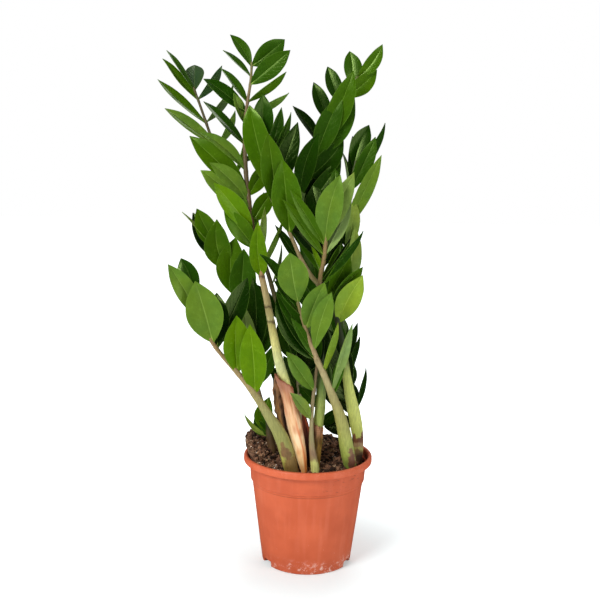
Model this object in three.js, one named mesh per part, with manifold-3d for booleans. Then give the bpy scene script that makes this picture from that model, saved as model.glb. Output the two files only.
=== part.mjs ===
// A potted zz plant: a 17 cm terracotta-coloured plastic nursery pot, its heaped soil, and the plant's leafy stems.
// Millimetres, +Z up, the front of the plant faces -Y, and the origin is the centre of the pot's underside.
import * as THREE from "three";
import { mergeVertices } from "three/addons/utils/BufferGeometryUtils.js";
import Module from "manifold-3d";

const wasm = await Module();
wasm.setup();

// ---------- solids ----------
function solid(points, faces) {
  return new wasm.Manifold(
    new wasm.Mesh({
      numProp: 3,
      vertProperties: new Float32Array(points.flatMap((p) => [p.x, p.y, p.z])),
      triVerts: new Uint32Array(faces.flat()),
    }),
  );
}

function fromGeometry(geometry) {
  const g = geometry.clone();
  g.deleteAttribute("normal");
  g.deleteAttribute("uv");
  const m = mergeVertices(g, 1e-3);
  return new wasm.Manifold(
    new wasm.Mesh({
      numProp: 3,
      vertProperties: new Float32Array(m.attributes.position.array),
      triVerts: new Uint32Array(m.index.array),
    }),
  );
}

function mesh(name, body, colour, roughness) {
  const m = body.asOriginal().simplify(0.02).getMesh();
  const n = m.numProp;
  const v = new Float32Array(m.numVert * 3);
  for (let i = 0; i < m.numVert; i++) {
    v.set(m.vertProperties.subarray(i * n, i * n + 3), i * 3);
  }
  const g = new THREE.BufferGeometry();
  g.setAttribute("position", new THREE.BufferAttribute(v, 3));
  g.setIndex(new THREE.BufferAttribute(new Uint32Array(m.triVerts), 1));
  const out = new THREE.Mesh(
    g,
    new THREE.MeshStandardMaterial({ color: colour, roughness }),
  );
  out.name = name;
  return out;
}

// Closed skin over rings of equal count, with a fan at each end.
function skin(rings) {
  const n = rings[0].length;
  const faces = [];
  for (let i = 0; i < rings.length - 1; i++) {
    for (let j = 0; j < n; j++) {
      const a = i * n + j;
      const b = i * n + ((j + 1) % n);
      faces.push([a, b, b + n], [a, b + n, a + n]);
    }
  }
  const last = (rings.length - 1) * n;
  for (let j = 1; j < n - 1; j++) {
    faces.push([0, j + 1, j], [last, last + j, last + j + 1]);
  }
  return solid(rings.flat(), faces);
}

// ---------- where things stand ----------
// Stalks and leaf tips are given as they stand across the plant's middle plane for somebody
// who looks at it from its front (x, z), and with their depth y behind that plane.
const EYE_X = -13.8;
const EYE_Z = 516.6;
const EYE_AWAY = 1157.6;
function place(x, z, y) {
  const k = 1 + y / EYE_AWAY;
  return new THREE.Vector3(EYE_X + (x - EYE_X) * k, y, EYE_Z + (z - EYE_Z) * k);
}

// ---------- pot ----------
const RIM_R = 85; // 17 cm across the rim
const POT_H = 145;
const FOOT_R = 59.1;
const STEP_Z = 110.6; // the wall steps in here
const WALL = 1.6;
const POT_SIDES = 40;
const pot_profile = [
  [0, 0],
  [FOOT_R - 1, 0],
  [FOOT_R + 0.2, 1.2],
  [73.7, STEP_Z],
  [75.5, STEP_Z + 1.1],
  [77.3, 134.6],
  [78.4, 135.3],
  [RIM_R - 0.9, 135.5],
  [RIM_R, 136.6],
  [RIM_R, 142.6],
  [RIM_R - 0.9, 144.4],
  [RIM_R - 2.4, POT_H],
  [RIM_R - 4.2, POT_H - 0.2],
  [79.7, 143.6],
  [79.2, 136.5],
  [75.7, 133.6],
  [73.9, STEP_Z + 1.9],
  [72.1, STEP_Z - 0.6],
  [FOOT_R - WALL + 0.5, 3.4],
  [FOOT_R - WALL - 1, 2],
  [0, 2],
].map(([r, z]) => new THREE.Vector2(r, z));

// A sector of a ring about the pot's axis, between two radii and two heights.
function sector(r0, r1, z0, z1, middle, spread) {
  const rings = [];
  const steps = 4;
  for (let i = 0; i <= steps; i++) {
    const a = THREE.MathUtils.degToRad(middle - spread + (2 * spread * i) / steps);
    const at = (r, z) => new THREE.Vector3(r * Math.cos(a), r * Math.sin(a), z);
    rings.push([at(r0, z0), at(r0, z1), at(r1, z1), at(r1, z0)]);
  }
  return skin(rings);
}

function upright(geometry) {
  return geometry.rotateX(Math.PI / 2);
}

// Three drain pockets are pressed into the bottom corner.
const POCKETS = [92, 208, 336]; // degrees about the axis
const POCKET_HALF = 11;
const POCKET_H = 8;
const POCKET_R = 50;
function pot() {
  let body = fromGeometry(upright(new THREE.LatheGeometry(pot_profile, POT_SIDES)));
  for (const a of POCKETS) {
    body = body
      .add(sector(POCKET_R - WALL, FOOT_R + 0.3, 1, POCKET_H + WALL, a, POCKET_HALF + 1.6))
      .subtract(sector(POCKET_R, FOOT_R + 6, -1, POCKET_H, a, POCKET_HALF))
      .subtract(sector(POCKET_R - 5, POCKET_R + 1, 3.6, POCKET_H - 1.6, a, 5));
  }
  return body;
}

// ---------- soil ----------
const GAP = 0.35;
function soil_height(x, y) {
  const r = Math.hypot(x, y);
  let z = 140.5 + 0.07 * y;
  z += 30 * Math.exp(-(((x + 74) / 25) ** 2) - ((y - 2) / 34) ** 2); // heaped at the left
  z += 5 * Math.exp(-(((x - 18) / 26) ** 2) - ((y - 42) / 30) ** 2);
  z -= 11 * Math.exp(-(((x - 80) / 17) ** 2) - ((y + 4) / 42) ** 2); // washed down at the right
  z -= 2.5 * Math.exp(-(((r - 78) / 7) ** 2));
  z += 1.1 * Math.sin(0.31 * x + 1.3) * Math.sin(0.27 * y + 0.4);
  z += 0.8 * Math.sin(0.63 * x - 0.51 * y);
  return z;
}
// The soil's edge follows the inside of the pot, which widens inside the rim.
function soil_edge(z) {
  return z < 136.5 ? 73.4 + 0.06 * Math.max(0, z - 115) : 78.4;
}
const SOIL_SIDES = 36;
function soil() {
  const rings = [];
  const round = (r, z) => {
    const ring = [];
    for (let j = 0; j < SOIL_SIDES; j++) {
      const a = (2 * Math.PI * j) / SOIL_SIDES;
      ring.push(new THREE.Vector3(r * Math.cos(a), r * Math.sin(a), z));
    }
    return ring;
  };
  rings.push(round(57, POCKET_H + WALL + 0.6));
  rings.push(round(71.5 - GAP, 109.4));
  rings.push(round(73.3 - GAP, 113.5));
  // The heap at the left stands over the rim's inner edge.
  const edge = round(1, 0);
  rings.push(
    edge.map((p) => {
      const z = Math.min(134, soil_height(76 * p.x, 76 * p.y) - 2.5);
      return new THREE.Vector3(soil_edge(z) * p.x, soil_edge(z) * p.y, z);
    }),
    edge.map((p) => {
      const h = soil_height(76 * p.x, 76 * p.y);
      const z = Math.min(h - 1.5, POT_H + 0.6);
      const r = soil_edge(z);
      return new THREE.Vector3(r * p.x, r * p.y, z);
    }),
    edge.map((p) => {
      const h = soil_height(76 * p.x, 76 * p.y);
      const out = h > POT_H + 6 ? Math.min(1, (h - POT_H - 6) / 8) * 5.5 : 0;
      const r = (out > 0 ? 76.5 : soil_edge(h)) + out;
      return new THREE.Vector3(r * p.x, r * p.y, Math.max(h, h > POT_H + 6 ? POT_H + 2 : 0));
    }),
  );
  for (const r of [70, 61, 50, 37, 23, 9]) {
    rings.push(
      edge.map((p) => new THREE.Vector3(r * p.x, r * p.y, soil_height(r * p.x, r * p.y))),
    );
  }
  return skin(rings);
}

// ---------- stalks, leaves and sheaths ----------
const X = new THREE.Vector3(1, 0, 0);
const Y = new THREE.Vector3(0, 1, 0);

function tangents(points) {
  return points.map((p, i) =>
    points[Math.min(i + 1, points.length - 1)]
      .clone()
      .sub(points[Math.max(i - 1, 0)])
      .normalize(),
  );
}

// rows of a stalk: x, z, depth y, radius
function stalk_points(rows) {
  return rows.map(([x, z, y]) => place(x, z, y));
}

function rings_round(points, radii, sides) {
  return tangents(points).map((t, i) => {
    const u = X.clone().addScaledVector(t, -t.x).normalize();
    const v = t.clone().cross(u);
    const ring = [];
    for (let j = 0; j < sides; j++) {
      const a = (2 * Math.PI * j) / sides;
      ring.push(
        points[i]
          .clone()
          .addScaledVector(u, radii[i] * Math.cos(a))
          .addScaledVector(v, radii[i] * Math.sin(a)),
      );
    }
    return ring;
  });
}

function stalk(rows, sides, more = 0) {
  return skin(rings_round(stalk_points(rows), rows.map((r) => r[3] + more), sides));
}

// The point and radius on a stalk that is seen at height z.
function along(rows, z) {
  let i = 0;
  while (i < rows.length - 2 && rows[i + 1][1] < z) i++;
  const [a, b] = [rows[i], rows[i + 1]];
  const f = Math.min(0.98, Math.max(0, (z - a[1]) / (b[1] - a[1])));
  const m = a.map((v, k) => v + (b[k] - v) * f);
  return { point: place(m[0], m[1], m[2]), r: m[3], y: m[2] };
}

// A blade: midrib points, half widths, direction across, direction of its upper face.
// Each station is left, middle, right on the upper face and the same three on the lower face.
function blade(middle, half, across, up, cup, thick) {
  const rings = middle.map((c, i) => {
    const side = (s, w) =>
      c
        .clone()
        .addScaledVector(across, s * half[i])
        .addScaledVector(up, Math.abs(s) * cup * half[i] + w);
    const e = Math.min(thick, 0.8) / 2;
    const m = thick / 2;
    return [side(-1, e), side(0, m), side(1, e), side(1, -e), side(0, -m), side(-1, -e)];
  });
  const n = 6;
  const faces = [];
  for (let i = 0; i < rings.length - 1; i++) {
    const a = i * n;
    const b = a + n;
    // both faces are split along the same diagonals
    const quad = (p, q, flip) =>
      flip
        ? faces.push([a + p, a + q, b + p], [a + q, b + q, b + p])
        : faces.push([a + p, a + q, b + q], [a + p, b + q, b + p]);
    quad(0, 1, false);
    quad(1, 2, true);
    quad(2, 3, false);
    quad(3, 4, false);
    quad(4, 5, true);
    quad(5, 0, false);
  }
  const last = (rings.length - 1) * n;
  for (const [p, q, r] of [
    [0, 1, 5],
    [1, 4, 5],
    [1, 2, 4],
    [2, 3, 4],
  ]) {
    faces.push([p, r, q], [last + p, last + q, last + r]);
  }
  const body = solid(rings.flat(), faces);
  return body.volume() < 0 ? solid(rings.flat(), faces.map(([p, q, r]) => [p, r, q])) : body;
}

const STATIONS = [0, 0.22, 0.52, 0.8, 1];
const OUTLINE = [0, 0.6, 1, 0.78, 0.05];

// rows of a leaf: height of its foot on the stalk, tip x, tip z, tip depth from the foot,
// turn about its length in degrees (0 shows its upper face to the front), full width, bow to its left
function leaf(rows, [foot_z, x, z, dy, turn, width, bow = 0]) {
  const foot = along(rows, foot_z);
  const tip = place(x, z, foot.y + dy);
  const run = tip.clone().sub(foot.point);
  const length = run.length();
  const d = run.clone().normalize();
  const w0 = d.clone().cross(Y).normalize();
  const n0 = w0.clone().cross(d).normalize();
  if (n0.y > 0) n0.negate();
  const a = THREE.MathUtils.degToRad(turn);
  const across = w0.clone().multiplyScalar(Math.cos(a)).addScaledVector(n0, Math.sin(a));
  const up = n0.clone().multiplyScalar(Math.cos(a)).addScaledVector(w0, -Math.sin(a));
  const middle = STATIONS.map((t) =>
    foot.point
      .clone()
      .addScaledVector(run, t)
      .addScaledVector(w0, 4 * t * (1 - t) * bow)
      .addScaledVector(up, 4 * t * (1 - t) * 0.02 * length),
  );
  const root = Math.min(1.5, 0.75 * foot.r);
  const half = OUTLINE.map((o, i) =>
    i === 0 ? root : Math.max(root * 0.5, (o * width) / 2, i === 4 ? 0.7 : 0),
  );
  return blade(middle, half, across, up, 0.16, 1.1);
}

function frond(rows, leaves, sides) {
  let body = stalk(rows, sides);
  for (const l of leaves) body = body.add(leaf(rows, l));
  return body;
}

// A dry sheath round a stalk: a tube whose mouth is cut aslant.
function sheath(rows, outer, wall, slant, sides) {
  const points = outer.map(([z]) => along(rows, z).point);
  const last = points.length - 1;
  const o = rings_round(points, outer.map((r) => r[1]), sides);
  const i = rings_round(points, outer.map((r) => r[1] - wall), sides);
  const tilt = (ring) =>
    ring.map((p) => {
      const q = p.clone();
      q.z -= ((p.x - points[last].x) / outer[last][1]) * slant;
      return q;
    });
  o[last] = tilt(o[last]);
  i[last] = tilt(i[last]);
  const loop = [...o, ...[...i].reverse()];
  const n = sides;
  const faces = [];
  for (let a = 0; a < loop.length; a++) {
    const b = (a + 1) % loop.length;
    for (let j = 0; j < n; j++) {
      const k = (j + 1) % n;
      faces.push([a * n + j, a * n + k, b * n + k], [a * n + j, b * n + k, b * n + j]);
    }
  }
  return solid(loop.flat(), faces);
}

// Each stalk from its foot in the soil to its top, and its leaves from the lowest up.
const fronds = {
  frond_front_left: {
    sides: 8,
    colour: 0x86944a,
    stalk: [
      [-19, 95, -55, 8.0],
      [-22, 121, -57, 9.0],
      [-29, 148, -60, 9.4],
      [-39, 172, -64, 8.2],
      [-52, 193, -68, 6.4],
      [-66, 215, -74, 4.7],
      [-82, 237, -80, 3.7],
      [-98, 256, -86, 3.1],
      [-114, 274, -92, 2.6],
      [-127, 291, -96, 2.2],
      [-139, 312, -98, 1.9],
      [-147, 334, -98, 1.6],
      [-151, 350, -97, 1.3],
    ],
    leaves: [
      [222, -80, 316, -22, 4, 37, -2],
      [251, -96, 328, -2, -8, 36, 2],
      [283, -122, 358, 14, 15, 28, 0],
      [286, -82, 378, 40, 12, 28, -1],
      [291, -150, 372, -10, 3, 44, -1],
      [322, -185, 394, 2, 14, 25, 2],
      [348, -169, 402, 14, -12, 27, -2],
    ],
  },
  frond_cream: {
    sides: 8,
    colour: 0xc9c98a,
    stalk: [
      [-3, 96, -56, 2.8],
      [-5, 121, -57, 3.0],
      [-11, 150, -56, 5.0],
      [-18, 180, -54, 6.2],
      [-25, 212, -50, 6.6],
      [-32, 240, -46, 6.6],
      [-40, 268, -42, 6.0],
      [-47, 300, -37, 5.2],
      [-53, 330, -32, 4.6],
      [-58, 355, -28, 4.2],
      [-65, 385, -23, 3.8],
      [-71, 415, -18, 3.5],
      [-76, 440, -14, 3.3],
      [-81, 475, -8, 3.1],
      [-85, 510, -2, 2.9],
      [-87, 545, 2, 2.6],
      [-87, 575, 4, 2.3],
      [-84, 600, 5, 2.0],
      [-80, 628, 5, 1.7],
      [-79, 650, 4, 1.4],
    ],
    leaves: [
      [380, -69, 450, -14, 6, 22, 4],
      [386, -36, 453, 20, 60, 14, 2],
      [395, -60, 470, 4, 50, 14, 3],
      [415, -113, 466, -8, 14, 26, 0],
      [434, -126, 499, -16, 8, 23, 0],
      [448, -50, 490, 14, 12, 23, 2],
      [462, -143, 515, 2, 10, 27, -2],
      [473, -131, 525, -12, 148, 22, 1],
      [487, -157, 558, 4, 14, 30, 1],
      [483, -55, 524, 16, 20, 23, 2],
      [505, -144, 563, -8, 128, 22, 2],
      [526, -66, 557, 14, 30, 14, 0],
      [547, -139, 601, 4, 62, 20, 0],
      [574, -101, 612, -6, 128, 20, 2],
      [578, -139, 629, -6, 42, 20, 1],
      [586, -31, 612, 10, 66, 18, 0],
      [600, -118, 642, 6, 60, 18, 1],
      [601, -35, 638, -6, 62, 18, 1],
      [622, -31, 666, -14, 8, 25, 1],
      [632, -115, 664, 6, 60, 16, 2],
      [644, -106, 683, -6, 16, 18, 1],
      [645, -38, 680, 4, 10, 28, -1],
    ],
  },
  frond_small: {
    sides: 8,
    colour: 0x8f9a60,
    stalk: [
      [11, 96, -54, 4.6],
      [10, 121, -56, 5.5],
      [8, 135, -55, 4.8],
      [5, 155, -53, 3.7],
      [4, 180, -50, 2.8],
      [4.5, 205, -47, 2.5],
      [6.5, 228, -44, 2.3],
      [8.5, 250, -42, 2.0],
      [10.5, 268, -40, 1.6],
    ],
    leaves: [
      [190, -24, 226, -20, 40, 17, 0],
      [229, -30, 281, -12, 8, 26, 2],
      [264, 0, 322, 4, 20, 20, 0],
    ],
  },
  frond_centre: {
    sides: 8,
    colour: 0x8f9c52,
    stalk: [
      [8, 100, -41, 5.2],
      [9, 128, -41, 6.0],
      [11, 155, -40, 6.0],
      [12.5, 185, -38, 6.0],
      [14, 210, -36, 5.8],
      [15.5, 240, -33, 5.2],
      [15.5, 280, -29, 4.4],
      [14, 320, -25, 3.8],
      [11.5, 360, -22, 3.2],
      [13, 385, -21, 2.9],
      [16.5, 405, -21, 2.7],
      [18, 425, -22, 2.4],
      [22, 445, -24, 2.0],
      [27, 468, -26, 1.5],
    ],
    leaves: [
      [374, 67, 440, -8, 60, 16, 0],
      [384, -33, 450, 34, 14, 16, -4],
      [389, 0, 420, -2, 30, 7, 0],
      [407, -38, 480, -14, 20, 15, 0],
      [408, 50, 480, -2, 132, 20, 0],
      [420, -29, 492, -16, 16, 15, 0],
      [424, 35, 511, -18, 4, 30, 7],
      [432, 53, 515, -4, 14, 24, 3],
      [446, 0, 497, 12, 14, 34, 4],
      [458, 29, 520, 12, 20, 20, 0],
    ],
  },
  frond_front_right: {
    sides: 8,
    colour: 0x8f9452,
    stalk: [
      [54, 100, -31, 7.0],
      [57, 122, -33, 8.0],
      [52, 150, -42, 9.0],
      [46, 180, -49, 8.1],
      [39, 203, -54, 6.6],
      [31, 223, -57, 5.2],
      [20, 250, -60, 4.2],
      [9, 273, -61, 3.7],
      [1, 292, -61, 3.2],
      [-6, 312, -60, 2.7],
      [-13, 335, -59, 2.3],
      [-18, 352, -58, 1.8],
    ],
    leaves: [
      [222, 47, 286, 2, 60, 16, 1],
      [226, 55, 322, -8, 124, 17, 1],
      [253, 38, 320, -4, 50, 15, 3],
      [266, -45, 332, 10, 20, 24, 5],
      [269, -25, 326, -4, 30, 13, 0],
      [281, 27, 360, -12, 4, 25, 2],
      [294, -45, 361, 10, 34, 18, 2],
      [297, -25, 329, 2, 50, 10, 0],
      [312, 18, 373, -6, 4, 29, 2],
      [327, -48, 375, 4, 40, 17, 0],
      [343, -66, 410, 14, 30, 18, -1],
      [349, -25, 410, -10, 6, 35, -2],
    ],
  },
  frond_stout: {
    sides: 8,
    colour: 0xa9b35a,
    stalk: [
      [64, 112, -8, 5.8],
      [66, 135, -6, 6.4],
      [67, 158, -3, 6.6],
      [64, 180, 0, 8.0],
      [60, 200, 2, 8.3],
      [54, 225, 4, 7.2],
      [49, 252, 5, 5.6],
      [45, 280, 4, 4.6],
      [40, 305, 2, 4.0],
      [34, 328, -1, 3.6],
      [24, 350, -4, 3.3],
      [10, 370, -8, 3.0],
      [0, 382, -10, 2.8],
      [-14, 405, -12, 2.6],
      [-24, 427, -13, 2.4],
      [-35, 450, -13, 2.2],
      [-45, 467, -12, 2.0],
      [-53, 482, -10, 1.9],
      [-60, 505, -8, 1.7],
      [-64, 530, -6, 1.5],
      [-66, 550, -5, 1.2],
    ],
    leaves: [
      [320, 67, 383, -14, 2, 31, 3],
      [345, 67, 394, -2, 36, 24, 3],
      [371, -46, 447, -20, 24, 13, 0],
      [436, -39, 530, -26, 3, 38, 0],
      [470, -58, 563, -16, 12, 25, -3],
      [480, -20, 577, 4, 10, 27, 0],
      [487, -82, 597, -18, -12, 30, 3],
      [508, -28, 589, 16, 52, 18, 0],
      [522, -41, 595, 8, 24, 17, -2],
      [546, -64, 611, -4, 5, 27, 0],
    ],
  },
  frond_back_left: {
    sides: 6,
    colour: 0x6c6040,
    stalk: [
      [-7, 118, 22, 4.4],
      [-8, 150, 22, 4.6],
      [-11, 200, 26, 4.0],
      [-14, 240, 31, 3.6],
      [-23, 290, 38, 3.3],
      [-37, 330, 43, 3.1],
      [-46, 352, 46, 3.0],
      [-57, 388, 50, 2.8],
      [-80, 455, 58, 2.6],
      [-102, 512, 66, 2.4],
      [-117, 536, 70, 2.2],
      [-129, 556, 73, 2.0],
      [-138, 580, 75, 1.8],
      [-146, 602, 77, 1.6],
      [-152, 618, 78, 1.3],
    ],
    leaves: [
      [318, -76, 372, 10, 20, 18, 0],
      [352, -14, 402, 14, 24, 22, 0],
      [368, -38, 421, 4, 78, 16, 0],
      [424, -94, 474, 12, 18, 26, 0],
      [452, -44, 506, 16, 20, 24, 0],
      [484, -128, 520, 14, 20, 26, 0],
      [508, -87, 557, 6, 72, 18, 0],
      [537, -188, 592, 8, 38, 21, 2],
      [545, -99, 590, 6, 66, 20, 0],
      [575, -101, 622, 4, 66, 20, 0],
      [580, -197, 627, 4, 130, 18, 3],
      [601, -190, 653, -4, 48, 16, 3],
      [603, -116, 645, 8, 62, 20, 0],
      [612, -185, 663, 8, 110, 18, 0],
      [614, -150, 645, 34, 0, 27, 0],
    ],
  },
  frond_top_right: {
    sides: 6,
    colour: 0x6f7a42,
    stalk: [
      [16, 125, 30, 4.6],
      [15, 158, 31, 4.6],
      [14, 200, 34, 4.2],
      [12, 270, 40, 3.7],
      [9, 330, 46, 3.3],
      [7, 390, 52, 3.1],
      [-5, 432, 57, 2.9],
      [-15, 465, 60, 2.7],
      [-16, 486, 62, 2.6],
      [-9, 507, 64, 2.5],
      [2, 529, 66, 2.3],
      [14, 553, 68, 2.2],
      [25, 580, 70, 2.0],
      [35, 606, 72, 1.8],
      [48, 625, 73, 1.6],
      [59, 641, 73, 1.3],
    ],
    leaves: [
      [300, 36, 356, 10, 16, 24, 0],
      [345, -24, 396, -8, 18, 24, 0],
      [368, -14, 446, -4, 8, 28, -3],
      [392, 40, 462, -6, 14, 28, 0],
            [458, 36, 530, 10, 8, 28, 0],
      [482, 6, 564, -30, 10, 27, 6],
      [505, 38, 556, 4, 10, 30, -4],
      [530, 34, 611, -16, 6, 31, 2],
      [534, 51, 608, -6, 8, 26, -2],
      [546, -27, 597, 10, 58, 18, 2],
      [552, 49, 641, -24, 4, 31, -1],
      [574, -1, 627, 10, 14, 21, 2],
      [600, 16, 646, 10, 14, 22, 1],
      [606, 78, 642, 4, 8, 24, -4],
      [622, 43, 665, 12, 8, 25, -3],
      [634, 84, 674, -2, 6, 17, -2],
    ],
  },
  frond_left: {
    sides: 6,
    colour: 0x6c6a3e,
    stalk: [
      [-42, 128, 16, 3.4],
      [-47, 158, 16, 3.4],
      [-54, 185, 18, 3.0],
      [-61, 210, 21, 2.8],
      [-68, 235, 25, 2.6],
      [-78, 280, 32, 2.4],
      [-89, 325, 38, 2.2],
      [-99, 365, 43, 2.0],
      [-109, 395, 46, 1.7],
      [-120, 420, 48, 1.4],
      [-126, 432, 49, 1.2],
    ],
    leaves: [
      [250, -86, 341, -20, 10, 24, 2],
      [262, -62, 336, 8, 14, 24, 0],
      [270, -75, 378, -12, 6, 26, -2],
      [285, -105, 340, -2, 14, 24, 0],
      [336, -87, 415, -16, 10, 36, 0],
      [352, -98, 430, -6, 6, 38, 8],
      [385, -122, 452, -16, 3, 35, 6],
      [396, -153, 463, 4, 16, 30, 4],
      [401, -166, 462, -8, 104, 16, 3],
      [413, -148, 466, 10, 6, 28, 0],
    ],
  },
  frond_right: {
    sides: 6,
    colour: 0x67703e,
    stalk: [
      [60, 130, 22, 3.6],
      [62, 160, 27, 3.6],
      [60, 200, 36, 3.4],
      [54, 240, 43, 3.2],
      [48, 270, 47, 3.0],
      [43, 310, 52, 2.8],
      [42, 350, 57, 2.6],
      [43, 390, 62, 2.5],
      [45, 430, 67, 2.3],
      [47, 470, 71, 2.1],
      [50, 505, 74, 1.8],
      [54, 530, 76, 1.5],
    ],
    leaves: [
      [198, 75, 261, 6, 60, 16, 0],
      [206, 57, 252, -6, 34, 14, 0],
      [224, 12, 178, 14, 12, 22, 0],
      [232, 59, 266, 12, 66, 14, 0],
      [236, 24, 312, -6, 12, 32, 0],
      [246, 65, 302, 4, 50, 17, 3],
      [262, 16, 345, -4, 10, 28, 0],
      [264, 62, 321, 10, 50, 19, 4],
      [286, 43, 328, 14, 40, 14, 0],
      [374, 52, 478, -8, 150, 21, 0],
      [420, 20, 484, 8, 14, 26, 0],
      [445, 87, 537, -22, 10, 26, 3],
      [478, 37, 543, 8, 76, 18, 0],
      [492, 79, 560, -8, 10, 23, 0],
      [498, 50, 561, 10, 24, 18, 0],
      [502, 92, 577, 6, 62, 20, 0],
      [518, 70, 575, 10, 8, 27, 4],
    ],
  },
  sprout: {
    sides: 6,
    colour: 0x4f5f2c,
    stalk: [
      [-46, 134, -12, 3.4],
      [-48, 155, -12, 3.6],
      [-51, 174, -13, 3.4],
      [-54, 188, -14, 2.6],
      [-57, 204, -14, 1.6],
    ],
    leaves: [
      [166, -76, 188, -6, 20, 13, 0],
      [168, -85, 196, -6, 60, 11, 3],
      [182, -52, 219, 3, 16, 17, 0],
      [184, -67, 207, -2, 14, 15, 0],
    ],
  },
};

// Dry sheaths: seen height and outer radius from the bottom up.
const pale_sheath = [
  [106, 4.4],
  [121, 4.7],
  [140, 6.8],
  [165, 8.6],
  [190, 8.8],
  [212, 8.5],
  [228, 8.8],
  [239, 11.3],
];
const centre_sheath = [
  [108, 7.2],
  [128, 7.5],
  [155, 7.5],
  [178, 7.4],
  [185, 7.8],
];
// Half a brown dry sheath stands behind the pale one: x, z, depth y, half width.
const brown_half = [
  [-19, 118, -37, 3],
  [-25, 150, -36, 5.5],
  [-32, 182, -36, 7],
  [-37.5, 206, -36, 7.5],
  [-42, 230, -34, 6],
  [-45, 246, -33, 1.5],
];
function brown_sheath(more = 0) {
  const middle = brown_half.map(([x, z, y]) => place(x, z, y));
  const across = new THREE.Vector3(0.9, -0.4, 0.25).normalize();
  const up = new THREE.Vector3(0.4, 0.9, 0).normalize().negate();
  return blade(middle, brown_half.map((r) => r[3] + more), across, up, -0.35, 1.1 + 2 * more);
}

// ---------- the whole ----------
const group = new THREE.Group();
group.name = "potted_zz_plant";
group.add(mesh("pot", pot(), 0xd6683f, 0.45));

let earth = soil();
for (const [name, f] of Object.entries(fronds)) {
  const feet = f.stalk.slice(0, 3).map(([x, z, y, r]) => [x, z, y, r]);
  if (name === "frond_cream") feet.forEach((r) => (r[3] = Math.max(r[3], 6.9)));
  if (name === "frond_centre") feet.forEach((r) => (r[3] = 8.3));
  feet[0] = [feet[0][0], feet[0][1] - 0.6, feet[0][2], feet[0][3]];
  earth = earth.subtract(stalk(feet, f.sides, GAP));
}
earth = earth.subtract(brown_sheath(GAP));
group.add(mesh("soil", earth, 0x3b2a20, 0.95));

group.add(
  mesh("sheath_pale", sheath(fronds.frond_cream.stalk, pale_sheath, 0.9, 11, 10), 0xd9a878, 0.6),
  mesh("sheath_brown", brown_sheath(), 0x5b3a22, 0.7),
  mesh("sheath_centre", sheath(fronds.frond_centre.stalk, centre_sheath, 0.8, -3, 10), 0x6a4426, 0.7),
);
for (const [name, f] of Object.entries(fronds)) {
  group.add(mesh(name, frond(f.stalk, f.leaves, f.sides), f.colour, 0.4));
}
export default group;
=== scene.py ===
# A potted zz plant: arching stems with pairs of waxy pointed leaflets, in heaped peat, in a
# terracotta-coloured nursery pot.
# Sizes are in millimetres until a mesh is made. The front of the plant faces -Y, and the pot stands on
# the plane z = 0.
import math
import random

import bpy
from mathutils import Matrix, Vector, noise


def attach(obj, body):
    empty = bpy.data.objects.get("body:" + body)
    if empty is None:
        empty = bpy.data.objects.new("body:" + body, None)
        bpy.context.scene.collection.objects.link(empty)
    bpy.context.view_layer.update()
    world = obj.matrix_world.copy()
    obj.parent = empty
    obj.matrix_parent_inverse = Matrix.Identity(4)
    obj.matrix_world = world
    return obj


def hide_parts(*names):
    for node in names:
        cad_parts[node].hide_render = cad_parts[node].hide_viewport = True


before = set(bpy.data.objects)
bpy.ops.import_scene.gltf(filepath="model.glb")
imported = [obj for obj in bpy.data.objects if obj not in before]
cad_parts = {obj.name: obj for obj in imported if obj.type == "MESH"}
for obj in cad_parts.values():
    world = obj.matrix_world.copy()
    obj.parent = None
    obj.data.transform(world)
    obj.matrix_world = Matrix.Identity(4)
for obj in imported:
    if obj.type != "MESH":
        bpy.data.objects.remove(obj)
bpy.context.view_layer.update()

# ---------- the studio ----------
# A white room: a pale matt floor that melts into a white surround, one large soft light at the upper left
# of the camera, a weaker one at the right and one over the plant from behind. The camera stands where it
# did for the photo.
CAMERA_AT = Vector((-0.01379, -1.15758, 0.51662))
CAMERA_DOWN = 0.143005545  # how far it looks down, and how far it is rolled, in radians
CAMERA_ROLL = 0.0161952847
ROOM_FRONT = 0.1  # how bright the room is behind the camera
ROOM_BACK = 0.5  # and behind the plant
ROOM_GLOSS = 0.06  # the share of it that shows in reflections, level with the plant
GLOSS_OVERHEAD = 0.75  # and overhead
lens = bpy.data.cameras.new("camera")
lens.sensor_width = 36
lens.lens = 54
lens.clip_end = 50
camera = bpy.data.objects.new("camera", lens)
bpy.context.collection.objects.link(camera)
camera.location = CAMERA_AT
camera.rotation_euler = (
    Matrix.Rotation(math.pi / 2 - CAMERA_DOWN, 3, "X") @ Matrix.Rotation(CAMERA_ROLL, 3, "Z")
).to_euler()
bpy.context.scene.camera = camera
bpy.context.scene.view_settings.view_transform = "Standard"

LAMPS_AIM = Vector((-0.03, 0, 0.36))
for name, at, size, watts in (
    ("key light", (-1.35, -1.7, 1.75), 1.1, 52),
    ("fill light", (1.7, -1.2, 1.0), 1.3, 12),
    ("back light", (0.3, 1.2, 1.9), 1.2, 12),
):
    lamp = bpy.data.lights.new(name, "AREA")
    lamp.shape = "DISK"
    lamp.size = size
    lamp.energy = watts
    stand = bpy.data.objects.new(name, lamp)
    bpy.context.collection.objects.link(stand)
    stand.location = at
    stand.rotation_euler = (Vector(at) - LAMPS_AIM).to_track_quat("Z", "Y").to_euler()


def ramp(tree, value, **ends):
    """A map range node that reads an output, with its ends set."""
    made = tree.nodes.new("ShaderNodeMapRange")
    tree.links.new(value, made.inputs["Value"])
    for key, end in ends.items():
        made.inputs[key.replace("_", " ")].default_value = end
    return made


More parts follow.
